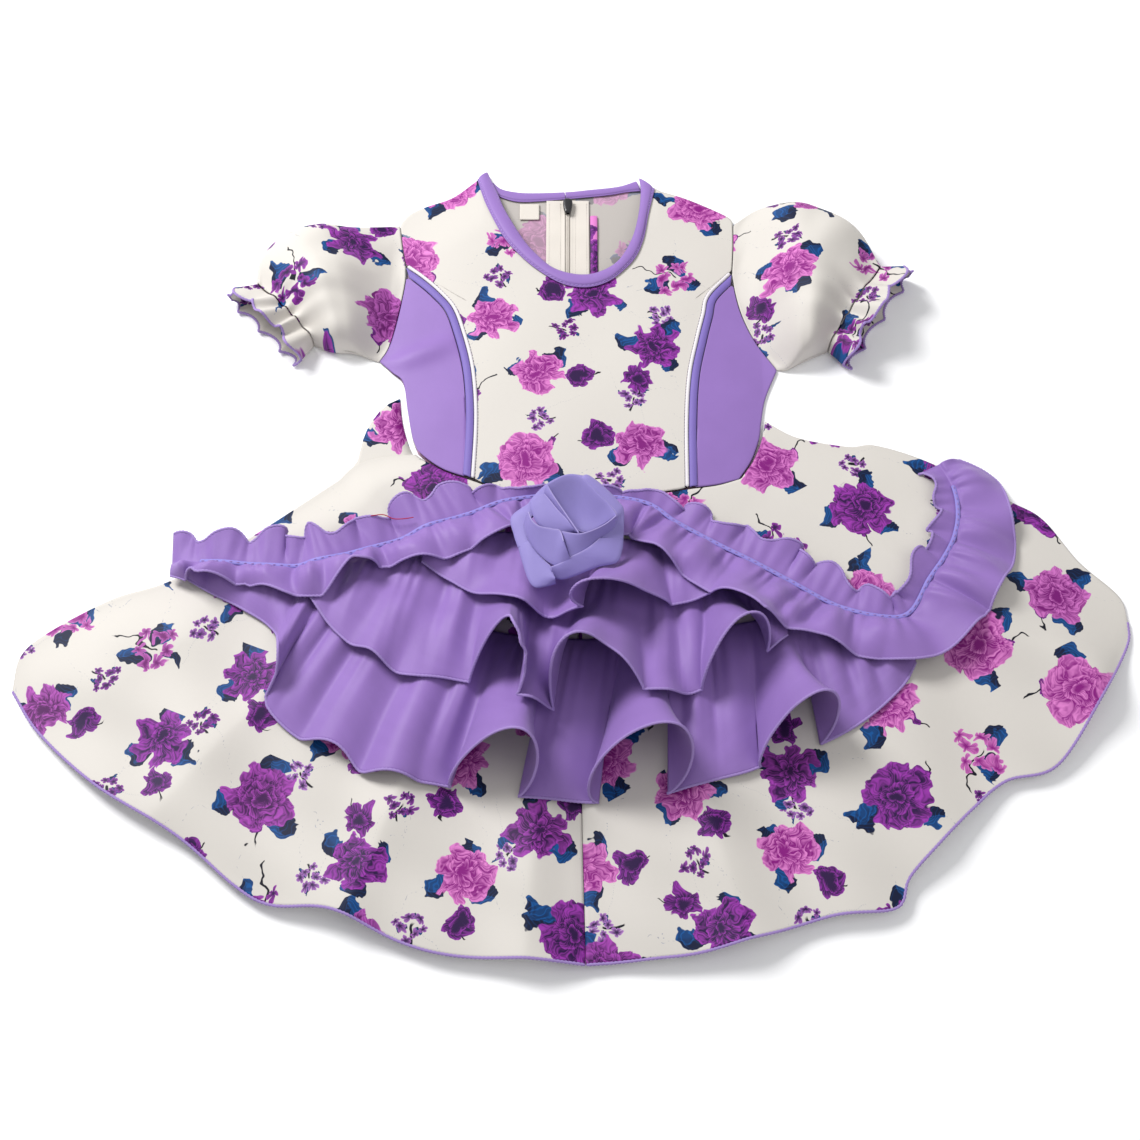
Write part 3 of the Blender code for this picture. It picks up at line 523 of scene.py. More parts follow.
def flower_print(ground, places):
    """A tossed print: small sprigs between the cells, and in each cell a rose, an open bloom joined to
    a dark round one, or a cluster of florets. A kind that a cell doesn't hold has almost no radius."""
    corner, (seen, _, tone), place = tossed(places, 0.25, 0.5, 7)
    little = seen.step(0.40, 0.42)
    colour = stem(ground, place, little * 12 + 0.01, 0.02)
    colour = leaves(colour, place, corner, 102 - little * 100, 9, 6)
    colour = sprig(colour, place, little * SPRIG_RADIUS - 1, LITTLE_FLORET, INK_PLUM, tone.mix(VIOLET, LILAC))

    cell, (kind, toss, size), place = tossed(places, 0, 0, 14)
    rose = kind.step(ROSES_BELOW + EASE, ROSES_BELOW - EASE)
    not_rose = kind.step(ROSES_BELOW - EASE, ROSES_BELOW + EASE)
    joined_pair = not_rose * kind.step(PAIRS_BELOW + EASE, PAIRS_BELOW - EASE)
    cluster = kind.step(PAIRS_BELOW - EASE, PAIRS_BELOW + EASE)
    warm = (size * 7).math("FRACT").step(0.35, 0.75)
    light = warm.mix(ORCHID, PINK)
    dark = warm.mix(INK_PLUM, MAGENTA)

    colour = stem(colour, place, 30, 0.012)
    main = place.vector("ADD", joined_pair.node("CombineXYZ", {}, {0: joined_pair * 10}))
    colour = leaves(colour, main, cell, rose * 11 + joined_pair * 7 + 3, 23 - joined_pair * 4, 20)
    colour = sprig(colour, place, cluster * CLUSTER_RADIUS - 1, FLORET, dark, light)
    beside = place.vector("SUBTRACT", (18, 4, 0))
    radius = joined_pair * DARK_RADIUS + rose * BUD_RADIUS + NO_RADIUS
    colour = bloom(colour, beside, radius, 7, 0.2, ((1, 0), (0.62, 0.8)), INK_PLUM, VIOLET)
    radius = rose * ROSE_RADIUS + joined_pair * OPEN_RADIUS + NO_RADIUS
    petals = (toss * 2).math("FLOOR") + 5 + joined_pair
    return bloom(colour, main, radius, petals, joined_pair * 0.26 + 0.22,
                 ((1, 0), (0.76, 1.1), (0.5, 0.3), (0.27, 0.9)), dark, light)


def floral_material(name, ground, shown):
    """Ivory satin printed with flowers, which show fully on the right side and faintly on the wrong one."""
    made, shader, places = new_material(name, 0.55)
    plain = mottled(places, ground, 14, 0.03)
    printed = flower_print(plain, places)
    faded = printed.node("Mix", {"data_type": "RGBA"}, {0: shown, 6: plain, 7: printed}, out=2)
    connect(faded, shader, "Base Color")
    woven(shader, places, 0.9 * MM, 0.05 * MM)
    return made


FLORAL = floral_material("Floral satin", rgb(205, 200, 193), 1.0)
FLORAL_WRONG_SIDE = floral_material("Floral satin, wrong side", rgb(178, 172, 167), 0.5)
WAIST_LINE = joined(WAIST_LEFT, WAIST_CENTRE, WAIST_RIGHT)
SIDES = {"left": (-1, SHOULDER_LEFT, ARMHOLE_LEFT, UNDERARM_LEFT, SIDE_LEFT, WAIST_LEFT),
         "right": (1, SHOULDER_RIGHT, ARMHOLE_RIGHT, UNDERARM_RIGHT, SIDE_RIGHT, WAIST_RIGHT[::-1])}

back_neck = joined(BACK_NECK_EDGE)
for side, (hand, shoulder, armhole, underarm, side_seam, _) in SIDES.items():
    top = back_neck[hand * (back_neck[:, 0] - ZIP_LINE) > SEAM / 2]
    bottom = WAIST_LINE[hand * (WAIST_LINE[:, 0] - ZIP_LINE) > SEAM / 2]
    outer = joined(shoulder, armhole, underarm, side_seam)
    inner = np.array([top[-1], bottom[-1]]) if side == "left" else np.array([top[0], bottom[0]])
    edges = (outer, evenly(inner, 9)) if side == "left" else (evenly(inner, 9), outer)

    def half(u, v):
        """A flat patch between the neck, the waist, the zip and the side, at the middle of its wall."""
        flat = patch(evenly(top, 61), evenly(bottom, 61), *edges, u, v)
        return lifted(flat, WALL / 2)
    piece = cloth_piece(f"back_bodice_{side}", half, 48, 90, FLORAL_WRONG_SIDE,
                        (8, (0.021, 0.011)))

# The zip, seen from inside.
# Two woven white tapes, stitched down near their edges, with the closed coil between them and the
# black slider at the top. A bare size label and the back seam's printed edge lie beside them.
ZIP_TOP = 300 * MM
ZIP_BOTTOM = 130 * MM
TAPE_WIDTH = 13.5 * MM
CHAIN_WIDTH = 3 * MM
CHAIN_HEIGHT = 1.8 * MM
SLIDER_LENGTH = 13 * MM
SLIDER_WIDTH = 7.5 * MM
SLIDER_HEIGHT = 4.2 * MM
TAPE_STITCHING = {"inner": 3.5 * MM, "outer": 11.5 * MM}
RIB_PITCH = 1.1 * MM


def plain_material(name, colour, roughness, pitch, depth, sheen=0.0):
    """Plain dyed cloth, thread or tape: one colour with a faint unevenness, over a fine weave."""
    made, shader, places = new_material(name, roughness, sheen)
    connect(mottled(places, colour, 35, 0.12), shader, "Base Color")
    woven(shader, places, pitch, depth)
    return made


SPINDLE = np.array([0.35, 0.9, 1, 0.9, 0.35])
SPINDLE_SIDES = 6


def stitches(name, route, pitch, length, thickness, material):
    """Machine stitches along a route: each is a little spindle that dips at its two ends."""
    total = distances(route)[-1]
    count = int(total / pitch)
    centres = (np.arange(count) + 0.5) / count
    t = np.linspace(-0.5, 0.5, len(SPINDLE))
    turn = np.linspace(0, 2 * np.pi, SPINDLE_SIDES, endpoint=False)
    places = at(evenly(route, 1200), centres[:, None] + t * length / total)
    along = unit(places[:, -1] - places[:, 0])
    side = np.stack([-along[:, 1], along[:, 0], np.zeros(count)], axis=1)
    ring = side[:, None, None] * np.cos(turn)[:, None] + np.array([0, 0, 1]) * np.sin(turn)[:, None]
    points = places[:, :, None] + ring * (SPINDLE * thickness / 2)[:, None, None]
    points[..., 2] -= (np.abs(t) * 2)[:, None] ** 2 * thickness * 0.6
    index = np.arange(points[..., 0].size).reshape(points.shape[:3])
    closed = np.concatenate([index, index[..., :1]], axis=-1)
    faces = quads(closed).tolist() + index[:, 0, ::-1].tolist() + index[:, -1].tolist()
    mesh = bpy.data.meshes.new(name)
    mesh.from_pydata((points - ORIGIN).reshape(-1, 3), [], faces)
    mesh.uv_layers.new(name="Cloth")
    return add_piece(name, mesh, material)


WHITE_TAPE = plain_material("White zip tape", rgb(218, 211, 202), 0.75, 1.2 * MM, 0.15 * MM)
WHITE_THREAD = plain_material("White thread", rgb(214, 208, 200), 0.6, 0.5 * MM, 0.05 * MM)
SEAM_PRINT = floral_material("Floral satin, bloom at the seam", PINK, 1.0)
rest = WALL + SEAM
for side, hand in (("left", -1), ("right", 1)):
    near = ZIP_LINE + hand * (CHAIN_WIDTH / 2 + SEAM)
    edges = np.sort([near, near + hand * TAPE_WIDTH])

    def tape(u, v):
        """A flat strip whose inner edge rises where it turns over the coil."""
        x = edges[0] + (edges[1] - edges[0]) * u
        turned = np.exp(-((x - near) / (1.2 * MM)) ** 2) * 0.5 * MM
        y = ZIP_TOP + (ZIP_BOTTOM - ZIP_TOP) * v
        return np.stack([x, y, rest + 0.45 * MM + turned + 0.15 * MM * np.sin(y / (7 * MM)) * u], axis=-1)
    piece = cloth_piece(f"zip_tape_{side}", tape, 14, 120, WHITE_TAPE, wall=0.6 * MM)
    for row, inset in TAPE_STITCHING.items():
        x = near + hand * inset
        route = np.array([(x, y, rest + 0.9 * MM) for y in (ZIP_TOP - 2 * MM, ZIP_BOTTOM + 2 * MM)])
        stitches(f"zip_stitches_{side}_{row}", route, 2.6 * MM, 1.9 * MM, 0.45 * MM, WHITE_THREAD)


def coil(u, v):
    """A ribbed half round: the coil's turns are a wave along it, and the two rows meet at a groove."""
    turn = np.pi * u
    ribs = 0.8 + 0.2 * np.cos(2 * np.pi * v * (ZIP_TOP - ZIP_BOTTOM) / RIB_PITCH)
    groove = 1 - 0.3 * np.exp(-((u - 0.5) / 0.08) ** 2)
    x = ZIP_LINE - np.cos(turn) * CHAIN_WIDTH / 2
    y = ZIP_TOP - SLIDER_LENGTH + (ZIP_BOTTOM - ZIP_TOP + SLIDER_LENGTH) * v
    return np.stack([x, y, rest + 0.1 * MM + np.sin(turn) * CHAIN_HEIGHT * ribs * groove], axis=-1)


cloth_piece("zip_chain", coil, 12, 900, WHITE_TAPE, wall=0.2 * MM)

enamel = bpy.data.materials.new("Black enamel")
enamel.use_nodes = True
enamel_shader = enamel.node_tree.nodes["Principled BSDF"]
enamel_shader.inputs["Metallic"].default_value = 0.3
enamel_shader.inputs["Coat Weight"].default_value = 0.4
own = Wire(enamel.node_tree.nodes.new("ShaderNodeTexCoord").outputs["Object"])
rubbed = own.node("TexNoise", {}, {"Vector": own, "Scale": 900})
connect(rubbed.mix(rgb(12, 12, 14), rgb(44, 44, 48)), enamel_shader, "Base Color")
connect(rubbed * 0.3 + 0.25, enamel_shader, "Roughness")


def slider_body(u, v):
    """A shield: its half width narrows from shoulders to tail, and its section is a rounded box."""
    turn = 2 * np.pi * u
    y = ZIP_TOP - 1 * MM - SLIDER_LENGTH * v
    rounded_ends = np.clip(np.sin(np.pi * np.clip(v, 0.004, 0.996)), 0, 1) ** 0.18
    half = SLIDER_WIDTH / 2 * (1 - 0.38 * v ** 1.5) * rounded_ends
    box = (np.abs(np.cos(turn)) ** 4 + np.abs(np.sin(turn)) ** 4) ** -0.25
    x = ZIP_LINE + half * np.cos(turn) * box
    tall = SLIDER_HEIGHT / 2 * (1 - 0.25 * np.abs(2 * v - 1) ** 6)
    middle = rest + WALL + SEAM + SLIDER_HEIGHT / 2
    z = middle + tall * np.sin(turn) * box * np.clip(half / SLIDER_WIDTH * 4, 0, 1)
    return np.stack([x, y, z], axis=-1)


points = slider_body(*np.meshgrid(np.linspace(0, 1, 32, endpoint=False), np.linspace(0, 1, 28),
                                  indexing="ij"))
slider = grid_piece("zip_slider_body", points, points[..., :2], enamel, round_u=True)
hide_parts("zip_slider")


def label_tab(u, v):
    """A small square tab whose free corners lift a little, by the square of their distance."""
    x, y = (-36 + 14 * u) * MM, (297 - 14 * v) * MM
    return np.stack([x, y, rest + 0.4 * MM + 0.8 * MM * (v * (u - 0.5)) ** 2], axis=-1)


label = cloth_piece("size_label", label_tab, 14, 14, WHITE_TAPE, wall=0.4 * MM)


def seam_allowance(u, v):
    """The back seam's narrow turned edge, which shows the right side of the print beside the tape."""
    x, y = (14.5 + 5 * u) * MM, (286 - 82 * v) * MM
    arch = 0.5 * MM * np.sin(np.pi * u) + 0.3 * MM * np.sin(9 * v)
    return np.stack([x, y, rest + 0.5 * MM + arch], axis=-1)


cloth_piece("back_seam_edge", seam_allowance, 8, 80, SEAM_PRINT, node=False)

# The front bodice.
# A printed centre between two plain side panels. Each princess seam holds a white piping and, beside
# it, a bias strip. The neck is bound with a turned strip all round.
CHEST_RISE = 7 * MM
PIPING_DIAMETER = 2 * MM
STRIP_WIDTH = 5 * MM
TWIST_PITCH = 2.4 * MM
PANEL_START = 48
EDGE_EASING = 6
NECK_OUTER = [(-67, 318), (-60, 292), (-48, 263), (-35, 245), (-21, 231), (-5, 220), (11, 217),
              (25, 221), (36, 230), (46, 243), (52, 260), (56, 283), (61, 308)]
NECK_INNER = [(-60, 325), (-53, 306), (-46, 285), (-33, 259), (-21, 243), (-10, 233), (6, 228),
              (20, 230), (34, 240), (44, 260), (49, 283), (51, 306), (50, 319)]
PRINCESS = {"left": [(-115, 239), (-103, 228), (-91, 215), (-81, 201), (-74, 180), (-68, 155),
                     (-65, 130), (-64, 103), (-65, 64)],
            "right": [(113, 232), (97, 212), (93, 196), (88, 175), (82, 145), (79, 107), (78, 57)]}
BACK_NECK = [(-57, 308), (-47, 302), (-34, 299), (-8, 301), (26, 305), (41, 308), (51, 309)]
BACK_NECK_TOP = [(-56, 317), (-50, 311), (-40, 308), (-27, 307), (-2, 308), (14, 310), (35, 313), (48, 318)]
LAVENDER = plain_material("Lavender satin", rgb(145, 113, 182), 0.46, 0.8 * MM, 0.06 * MM, sheen=0.1)
BIAS = plain_material("Lavender bias strip", rgb(124, 106, 180), 0.5, 0.8 * MM, 0.06 * MM, sheen=0.1)
PIPING = plain_material("White piping", rgb(226, 221, 224), 0.6, 0.6 * MM, 0.08 * MM)
LILAC_THREAD = plain_material("Lilac thread", rgb(182, 158, 220), 0.6, 0.5 * MM, 0.05 * MM)
# The princess seams' stitches are real, but their dark colour is painted shade: it stands for the shadow line
# beside the piping.
PAINTED_SHADE_THREAD = plain_material("Seam thread, dark as painted shade", rgb(88, 80, 112), 0.8, 0.5 * MM, 0.05 * MM)


def ripples(flat, height, *waves):
    """Soft unevenness of laid cloth: a sum of plane waves, each with a bearing in degrees, a length in
    millimetres and a phase."""
    total = 0
    for bearing, length, phase in waves:
        way = np.array([math.cos(math.radians(bearing)), math.sin(math.radians(bearing))])
        total = total + np.sin(flat @ way * (2 * math.pi / (length * MM)) + phase)
    return height * total / len(waves)


def front_height(flat):
    """The front bodice's rise over the back: most at the chest, least at side and shoulder seams."""
    across = 1 - np.clip(np.abs(flat[..., 0] - 3 * MM) / (128 * MM), 0, 1) ** 3
    shoulder = (320 - np.clip(np.abs(flat[..., 0] / MM) - 62, 0, 70) * 0.7) * MM
    below = smooth((shoulder - flat[..., 1]) / (70 * MM) + 0.25)
    soft = ripples(flat, 0.7 * MM, (20, 95, 0), (75, 120, 1), (140, 74, 2))
    return 1.5 * WALL + SEAM + (CHEST_RISE + soft) * across * below


def above_waist(curve):
    """The curve down to the waist seam, with evenly spaced points."""
    waist = np.interp(curve[:, 0], WAIST_LINE[:, 0], WAIST_LINE[:, 1])
    return evenly(curve[curve[:, 1] > waist + SEAM], CURVE_POINTS)


def tube(name, route, half_width, half_height, material, sides=10, twist=0.0):
    """A cord or bead with an oval section carried along a route, its ends closed to a point. A twist
    swells and thins the section in a wave that turns as it runs."""
    along = unit(np.gradient(route, axis=0))
    side = unit(np.cross(along, [0, 0, 1]))
    up = np.cross(side, along)
    turn = np.linspace(0, 2 * np.pi, sides, endpoint=False)
    length = distances(route)
    swell = 1 + twist * np.cos(turn * 2 + length[:, None] * (2 * np.pi / TWIST_PITCH))
    swell[0] = swell[-1] = 0.02
    ring = side[:, None] * (half_width * np.cos(turn))[:, None]
    ring = ring + up[:, None] * (half_height * np.sin(turn))[:, None]
    points = route[:, None] + ring * swell[..., None]
    places = np.stack(np.broadcast_arrays(length[:, None], turn * half_width), axis=-1)
    return grid_piece(name, points, places, material, round_v=True)


pile_surfaces = []
binding_outer, binding_inner = joined(NECK_OUTER), joined(NECK_INNER)
neck = (binding_outer + binding_inner) / 2
beside_seam = PIPING_DIAMETER + 2 * SEAM
centre_edges = []
for side, (hand, shoulder, armhole, underarm, side_seam, waist) in SIDES.items():
    princess = joined(PRINCESS[side])
    floral_edge = above_waist(moved_in(princess, -hand * beside_seam))
    neck_end = neck[:1] if side == "left" else neck[-1:]
    corners = [neck_end, joined(shoulder)[30:-1], joined(armhole)[:-20], floral_edge]
    edge = evenly(np.vstack(corners), CURVE_POINTS)
    for _ in range(EDGE_EASING):
        edge[1:-1] = (edge[:-2] + 2 * edge[1:-1] + edge[2:]) / 4
    centre_edges.append(evenly(edge, CURVE_POINTS))
    strip_near = above_waist(moved_in(princess, hand * SEAM))
    strip_far = above_waist(moved_in(princess, hand * (STRIP_WIDTH + SEAM))[16:])
    panel_inner = moved_in(strip_far, hand * 2 * SEAM)

    def strip(u, v):
        """The bias strip, rounded over its seam allowance by a half wave across its width."""
        flat = between(at(strip_near, v), at(strip_far, v), u)
        return lifted(flat, front_height(flat) + 0.2 * MM + 0.9 * MM * np.sin(np.pi * u) ** 0.7)
    cloth_piece(f"princess_strip_{side}", strip, 10, 160, BIAS, wall=0.4 * MM)

    panel_top = evenly(np.array([joined(underarm)[PANEL_START], panel_inner[0]]), 9)
    panel_bottom = evenly(np.vstack([joined(waist)[:-40], panel_inner[-1:]]), 61)
    panel_outer = evenly(np.vstack([joined(underarm)[PANEL_START:-1], joined(side_seam)]), 193)

    def panel(u, v):
        """The side panel, with one slanting fold across it: a bell curve in height."""
        flat = patch(panel_top, panel_bottom, panel_outer, panel_inner, u, v)
        fold = np.exp(-((flat[..., 1] / MM - 168 - 0.35 * (flat[..., 0] / MM + 90)) / 9) ** 2)
        return lifted(flat, front_height(flat) + 3.2 * MM * fold * np.sin(np.pi * u))
    piece = cloth_piece(f"side_front_{side}", panel, 40, 110, LAVENDER, (0, (0, 0)))
    pile_surfaces.append(panel)

    route = at(above_waist(moved_in(princess, -hand * beside_seam / 2)), np.linspace(0, 1, 220))
    cord = tube(f"princess_piping_{side}_cord", lifted(route, front_height(route) + 0.45 * MM),
                0.62 * PIPING_DIAMETER, PIPING_DIAMETER / 2, PIPING, twist=0.06)
    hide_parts(f"princess_piping_{side}")
    # Stitches beside each piping, dark as painted shade along the seam.
    seam_line = at(above_waist(moved_in(princess, -hand * (beside_seam + 0.1 * MM))), np.linspace(0, 1, 300))
    stitches(f"princess_stitches_{side}", lifted(seam_line, front_height(seam_line) + 0.3 * MM),
             2.4 * MM, 2.1 * MM, 0.3 * MM, PAINTED_SHADE_THREAD)

centre_left, centre_right = centre_edges
corners = [centre_left[-1:], joined(WAIST_CENTRE)[16:-16], centre_right[-1:]]
centre_waist = evenly(np.vstack(corners), CURVE_POINTS)


def centre_front(u, v):
    """A patch between the neck, the waist seam and the two princess seams, raised as the front is."""
    flat = patch(neck, centre_waist, centre_left, centre_right, u, v)
    return lifted(flat, front_height(flat))


piece = cloth_piece("front_bodice", centre_front, 160, 180, FLORAL, (-14, (0.012, 0.006)))
pile_surfaces.append(centre_front)


def bound_edge(outer, inner, height, rise, name, along):
    """A turned binding: a low arch across its width, with the stitched groove near the cloth's side."""
    def surface(u, v):
        """The arch is the root of a half sine, and the groove a bell curve taken from it."""
        flat = between(at(outer, u), at(inner, u), v)
        arch = np.sin(np.pi * np.clip(v, 0.02, 0.98)) ** 0.5
        groove = 0.45 * np.exp(-((v - 0.13) / 0.05) ** 2)
        return lifted(flat, height(flat) + rise * (arch - groove))
    made = cloth_piece(name, surface, along, 16, LAVENDER, wall=0.4 * MM)


bound_edge(binding_outer, binding_inner, lambda flat: front_height(flat) + 0.7 * MM, 2.0 * MM,
           "neck_binding_front", 260)
low, high = joined(BACK_NECK), joined(BACK_NECK_TOP)
for side, start, end in (("left", 0.0, 0.508), ("right", 0.512, 1.0)):
    part_of = np.linspace(start, end, 120)
    bound_edge(at(low, part_of), at(high, part_of), lambda flat: WALL + SEAM + 0.2 * MM, 1.2 * MM,
               f"neck_binding_back_{side}", 90)
route = moved_in(binding_outer, 1.3 * MM)
stitches("neck_stitches", lifted(route, front_height(route) + 1.9 * MM), 2.8 * MM, 2.2 * MM, 0.4 * MM,
         LILAC_THREAD)

# The skirt.
# Four flared printed panels: two lie on the table and two on top of them, with soft folds that fan
# out from the waist. The hem is overlocked with lilac thread.
SKIRT_RISE = 5 * MM
BACK_HEM_INSET = 5 * MM
SKIRT_SIDE_LEFT = [(-151, 66), (-210, 20), (-255, -9), (-290, -22), (-327, -45), (-343, -62), (-345, -86)]
SKIRT_SIDE_RIGHT = [(132, 112), (153, 99), (186, 92), (204, 93), (238, 80), (288, 50), (308, 36),
                    (327, 5), (349, -20), (352, -38)]
HEM_LEFT = [(-345, -86), (-323, -116), (-282, -152), (-231, -183), (-196, -212), (-174, -224),
            (-139, -228), (-98, -246), (-69, -254), (-29, -257), (9, -259)]
HEM_RIGHT = [(9, -259), (46, -256), (75, -253), (110, -244), (151, -231), (189, -226), (198, -208),
             (217, -188), (239, -166), (262, -147), (294, -137), (327, -91), (349, -55), (352, -38)]
FRONT_SEAM = [(3, 45), (6, -80), (7, -163), (9, -259)]
BACK_SIDE_TOP = [(-113, 131), (-124, 124), (-133, 109), (-137, 96), (-140, 80), (-151, 66)]
BACK_WAIST_END = [(-113, 131), (-110.5, 112), (-106, 95), (-102, 86)]
BESIDE_PANEL = [(-101, 86), (-122, 84), (-140, 78), (-151, 66)]
WAIST_CORNER = (129, 112)
FOLD_POLE = (3, 150)
Fold = namedtuple("Fold", "place width height lean roll retreat", defaults=(0, 0, 0))
SKIRT_FOLDS = [Fold(-58, 16, 9), Fold(-38, 14, 7), Fold(-19, 12, 10), Fold(-4, 11, 8),
               Fold(14, 13, 10), Fold(33, 14, 8), Fold(54, 15, 11)]
OVERLOCK = plain_material("Lilac overlock thread", rgb(160, 134, 196), 0.6, 0.7 * MM, 0.2 * MM)


def skirt_height(flat, edge):
    """The front skirt's rise: soft folds fan out from above the waist and grow towards the hem."""
    across = flat[..., 0] / MM - FOLD_POLE[0]
    down = FOLD_POLE[1] - flat[..., 1] / MM
    bearing = np.degrees(np.arctan2(across, down))
    reach = np.hypot(across, down)
    grown = smooth((reach - 110) / 260)
    rise = SKIRT_RISE * smooth((reach - 90) / 60)
    for fold in SKIRT_FOLDS:
        off = np.abs((bearing - fold.place) / (fold.width / 3))
        rise = rise + fold.height * MM * grown * np.exp(-off ** 1.5)
    soft = ripples(flat, 3.4 * MM, (35, 92, 0.4), (10, 61, 1.3), (160, 108, 2.2), (65, 53, 0.1))
    rise = rise + grown * soft
    waist = front_height(flat) - 1.5 * WALL - SEAM
    near_waist = 1 - smooth((reach - 90) / 90)
    return 1.5 * WALL + SEAM + smooth(edge) * np.maximum(rise + waist * near_waist, 0)


def overlock(name, surface, count):
    """A bead of looped thread along the last edge of a surface, with a wave for its loops."""
    edge = evenly(surface(np.linspace(0, 1, count), np.ones(count)), count)
    tube(name, edge, 0.9 * MM, 0.65 * MM, OVERLOCK, sides=8, twist=0.18)


hem_left, hem_right = joined(HEM_LEFT), joined(HEM_RIGHT)
seam = joined(FRONT_SEAM)
below_waist = -SEAM - 1.5 * WALL
waist_left = moved_in(joined(WAIST_LEFT, WAIST_CENTRE[:4]), below_waist)
waist_right = joined(WAIST_CENTRE[3:], WAIST_RIGHT, SIDE_RIGHT[:2:-1] + [WAIST_CORNER])
waist_right = moved_in(waist_right, below_waist)
beside_panel = joined(BESIDE_PANEL, SKIRT_SIDE_LEFT)
side_right = joined(SKIRT_SIDE_RIGHT)
back_waist = moved_in(joined(BACK_WAIST_END, WAIST_LEFT, WAIST_CENTRE[:4]), below_waist)
back_side = joined(BACK_SIDE_TOP, SKIRT_SIDE_LEFT)
skirt_fronts = {
    "left": (waist_left, hem_left, beside_panel, seam, lambda u: u * 6, (24, (0.004, 0.013))),
    "right": (waist_right, hem_right, seam, side_right, lambda u: (1 - u) * 6, (-31, (0.02, 0.03)))}
for side, (top, bottom, left, right, edge, layout) in skirt_fronts.items():
    gap = SEAM / 2 if side == "left" else -SEAM / 2

    def skirt_front(u, v, top=top, bottom=bottom, left=left, right=right, edge=edge, gap=gap):
        """A patch between the panel's four edges, raised in folds and drawn down at the centre seam."""
        flat = patch(top, bottom, left, right, u, v)
        beside = np.abs(1 - u if gap > 0 else u)
        height = skirt_height(flat, edge(u)) - 0.8 * MM * np.exp(-(beside / 0.008) ** 2) * smooth(v * 8)
        return lifted(flat - np.array([gap, 0]), height)
    piece = cloth_piece(f"skirt_front_{side}", skirt_front, 210, 180, FLORAL, layout)
    overlock(f"skirt_hem_{side}", skirt_front, 700)
    pile_surfaces.append(skirt_front)

inset = [0, BACK_HEM_INSET]
back_hem_left = fitted(moved_in(hem_left, BACK_HEM_INSET), hem_left[0], hem_left[-1] + inset)
back_hem_right = fitted(moved_in(hem_right, BACK_HEM_INSET), hem_right[0] + inset, hem_right[-1])
skirt_backs = {"left": (back_waist, back_hem_left, back_side, seam, SEAM / 2, (52, (0.03, 0.0))),
               "right": (waist_right, back_hem_right, seam, side_right, -SEAM / 2, (-70, (0.0, 0.02)))}
for side, (top, bottom, left, right, gap, layout) in skirt_backs.items():
    def skirt_back(u, v):
        """A flat patch between the panel's four edges, at the middle of its wall."""
        flat = patch(top, bottom, left, right, u, v)
        return lifted(flat - np.array([gap, 0]), WALL / 2)
    piece = cloth_piece(f"skirt_back_{side}", skirt_back, 50, 40, FLORAL, layout)

# The ruffle tiers.
# Four tiers of plain satin, the lowest and widest first. Each is gathered at its seam and stands in
# flutes at its overlocked hem.
TIER_4_SEAM = [(-246, 6), (-200, -6), (-150, -18), (-100, -34), (-50, -48), (0, -54), (60, -50),
               (120, -42), (170, -44), (208, -52)]
TIER_4_HEM = [(-250, -5), (-230, -19), (-205, -33), (-188, -45), (-179, -62), (-178, -82), (-186, -98),
              (-167, -119), (-140, -132), (-116, -148), (-70, -153), (-30, -160), (15, -162), (55, -158),
              (100, -146), (125, -134), (150, -126), (177, -112), (204, -87), (214, -70)]
TIER_4_FLUTES = [Fold(102, 60, 18), Fold(186, 46, 9, 0, 2, 4), Fold(228, 40, 8, 0, 2, 3),
                 Fold(285, 40, 49, 15, 12, 24), Fold(374, 40, 47, 10, 19, 28), Fold(474, 38, 42, 16, 12, 18)]
TIER_3_SEAM = [(-158, 4), (-120, 4), (-80, 6), (-40, 4), (0, 0), (50, -6), (100, -18), (131, -30)]
TIER_3_HEM = [(-164, -27), (-146, -52), (-123, -71), (-100, -83), (-70, -86), (-50, -92), (-40, -103),
              (-22, -108), (0, -106), (25, -103), (48, -102), (65, -100), (83, -92), (100, -82), (118, -72),
              (134, -58)]
TIER_3_FLUTES = [Fold(62, 40, 7, 0, 0, 3), Fold(144, 36, 52, 13, 7, 36), Fold(211, 54, 48, -15, 9, 30),
                 Fold(299, 46, 38, 6, 9, 20)]
TIER_2_SEAM = [(-92, 22), (-50, 22), (0, 20), (50, 14), (86, 0)]
TIER_2_HEM = [(-94, -2), (-76, -16), (-58, -28), (-24, -43), (2, -46), (30, -44), (60, -36), (88, -28)]
TIER_2_FLUTES = [Fold(142, 56, 29, -22, 11, 10)]
Station = namedtuple("Station", "x y heading frill")
TIER_1_STATIONS = [Station(*row) for row in (
    (-254, 0, 17, 8), (-228, -2, 18, 18), (-204, -4, 20, 14), (-180, -5, 24, 24), (-160, -3, 23, 28),
    (-143, 2, 20, 16), (-124, 10, 20, 18), (-106, 17, 23, 24), (-88, 25, 24, 30), (-64, 35, 22, 30),
    (-40, 45, 8, 30), (0, 49, 5, 32), (46, 44, 6, 28), (68, 29, 15, 32), (89, 16, 16, 36),
    (114, 2, 20, 42), (141, -15, 24, 44), (170, -32, 18, 34), (196, -40, 15, 32), (213, -37, 13, 38),
    (226, -16, 14, 42), (237, 0, 15, 42), (246, 17, 15, 40), (251, 37, 13, 37), (251, 57, 13, 32),
    (244, 77, 14, 14))]
TIER_1_FLUTES = [Fold(*row) for row in (
    (28, 34, 12, -6, 4, 6), (68, 30, 7, 0, 2, 2), (112, 36, 12, 5, 4, 4), (152, 34, 8, 0, 2, 2),
    (206, 40, 10, 4, 3, 3), (262, 44, 6), (345, 36, 8, 0, 2, 2), (402, 40, 9, -4, 3, 3),
    (455, 38, 10, 0, 3, 3), (500, 36, 9, 4, 3, 3), (545, 38, 8, 0, 2, 3), (590, 34, 9, 0, 2, 3))]
LINE_POINTS = 400
HEADING_SHARE = 0.25
HEADING_WAVE = 26 * MM
HEADING_RISE = 5 * MM
HEADING_CURL = 2.6 * MM
LAYER_GAP = 1.3 * MM


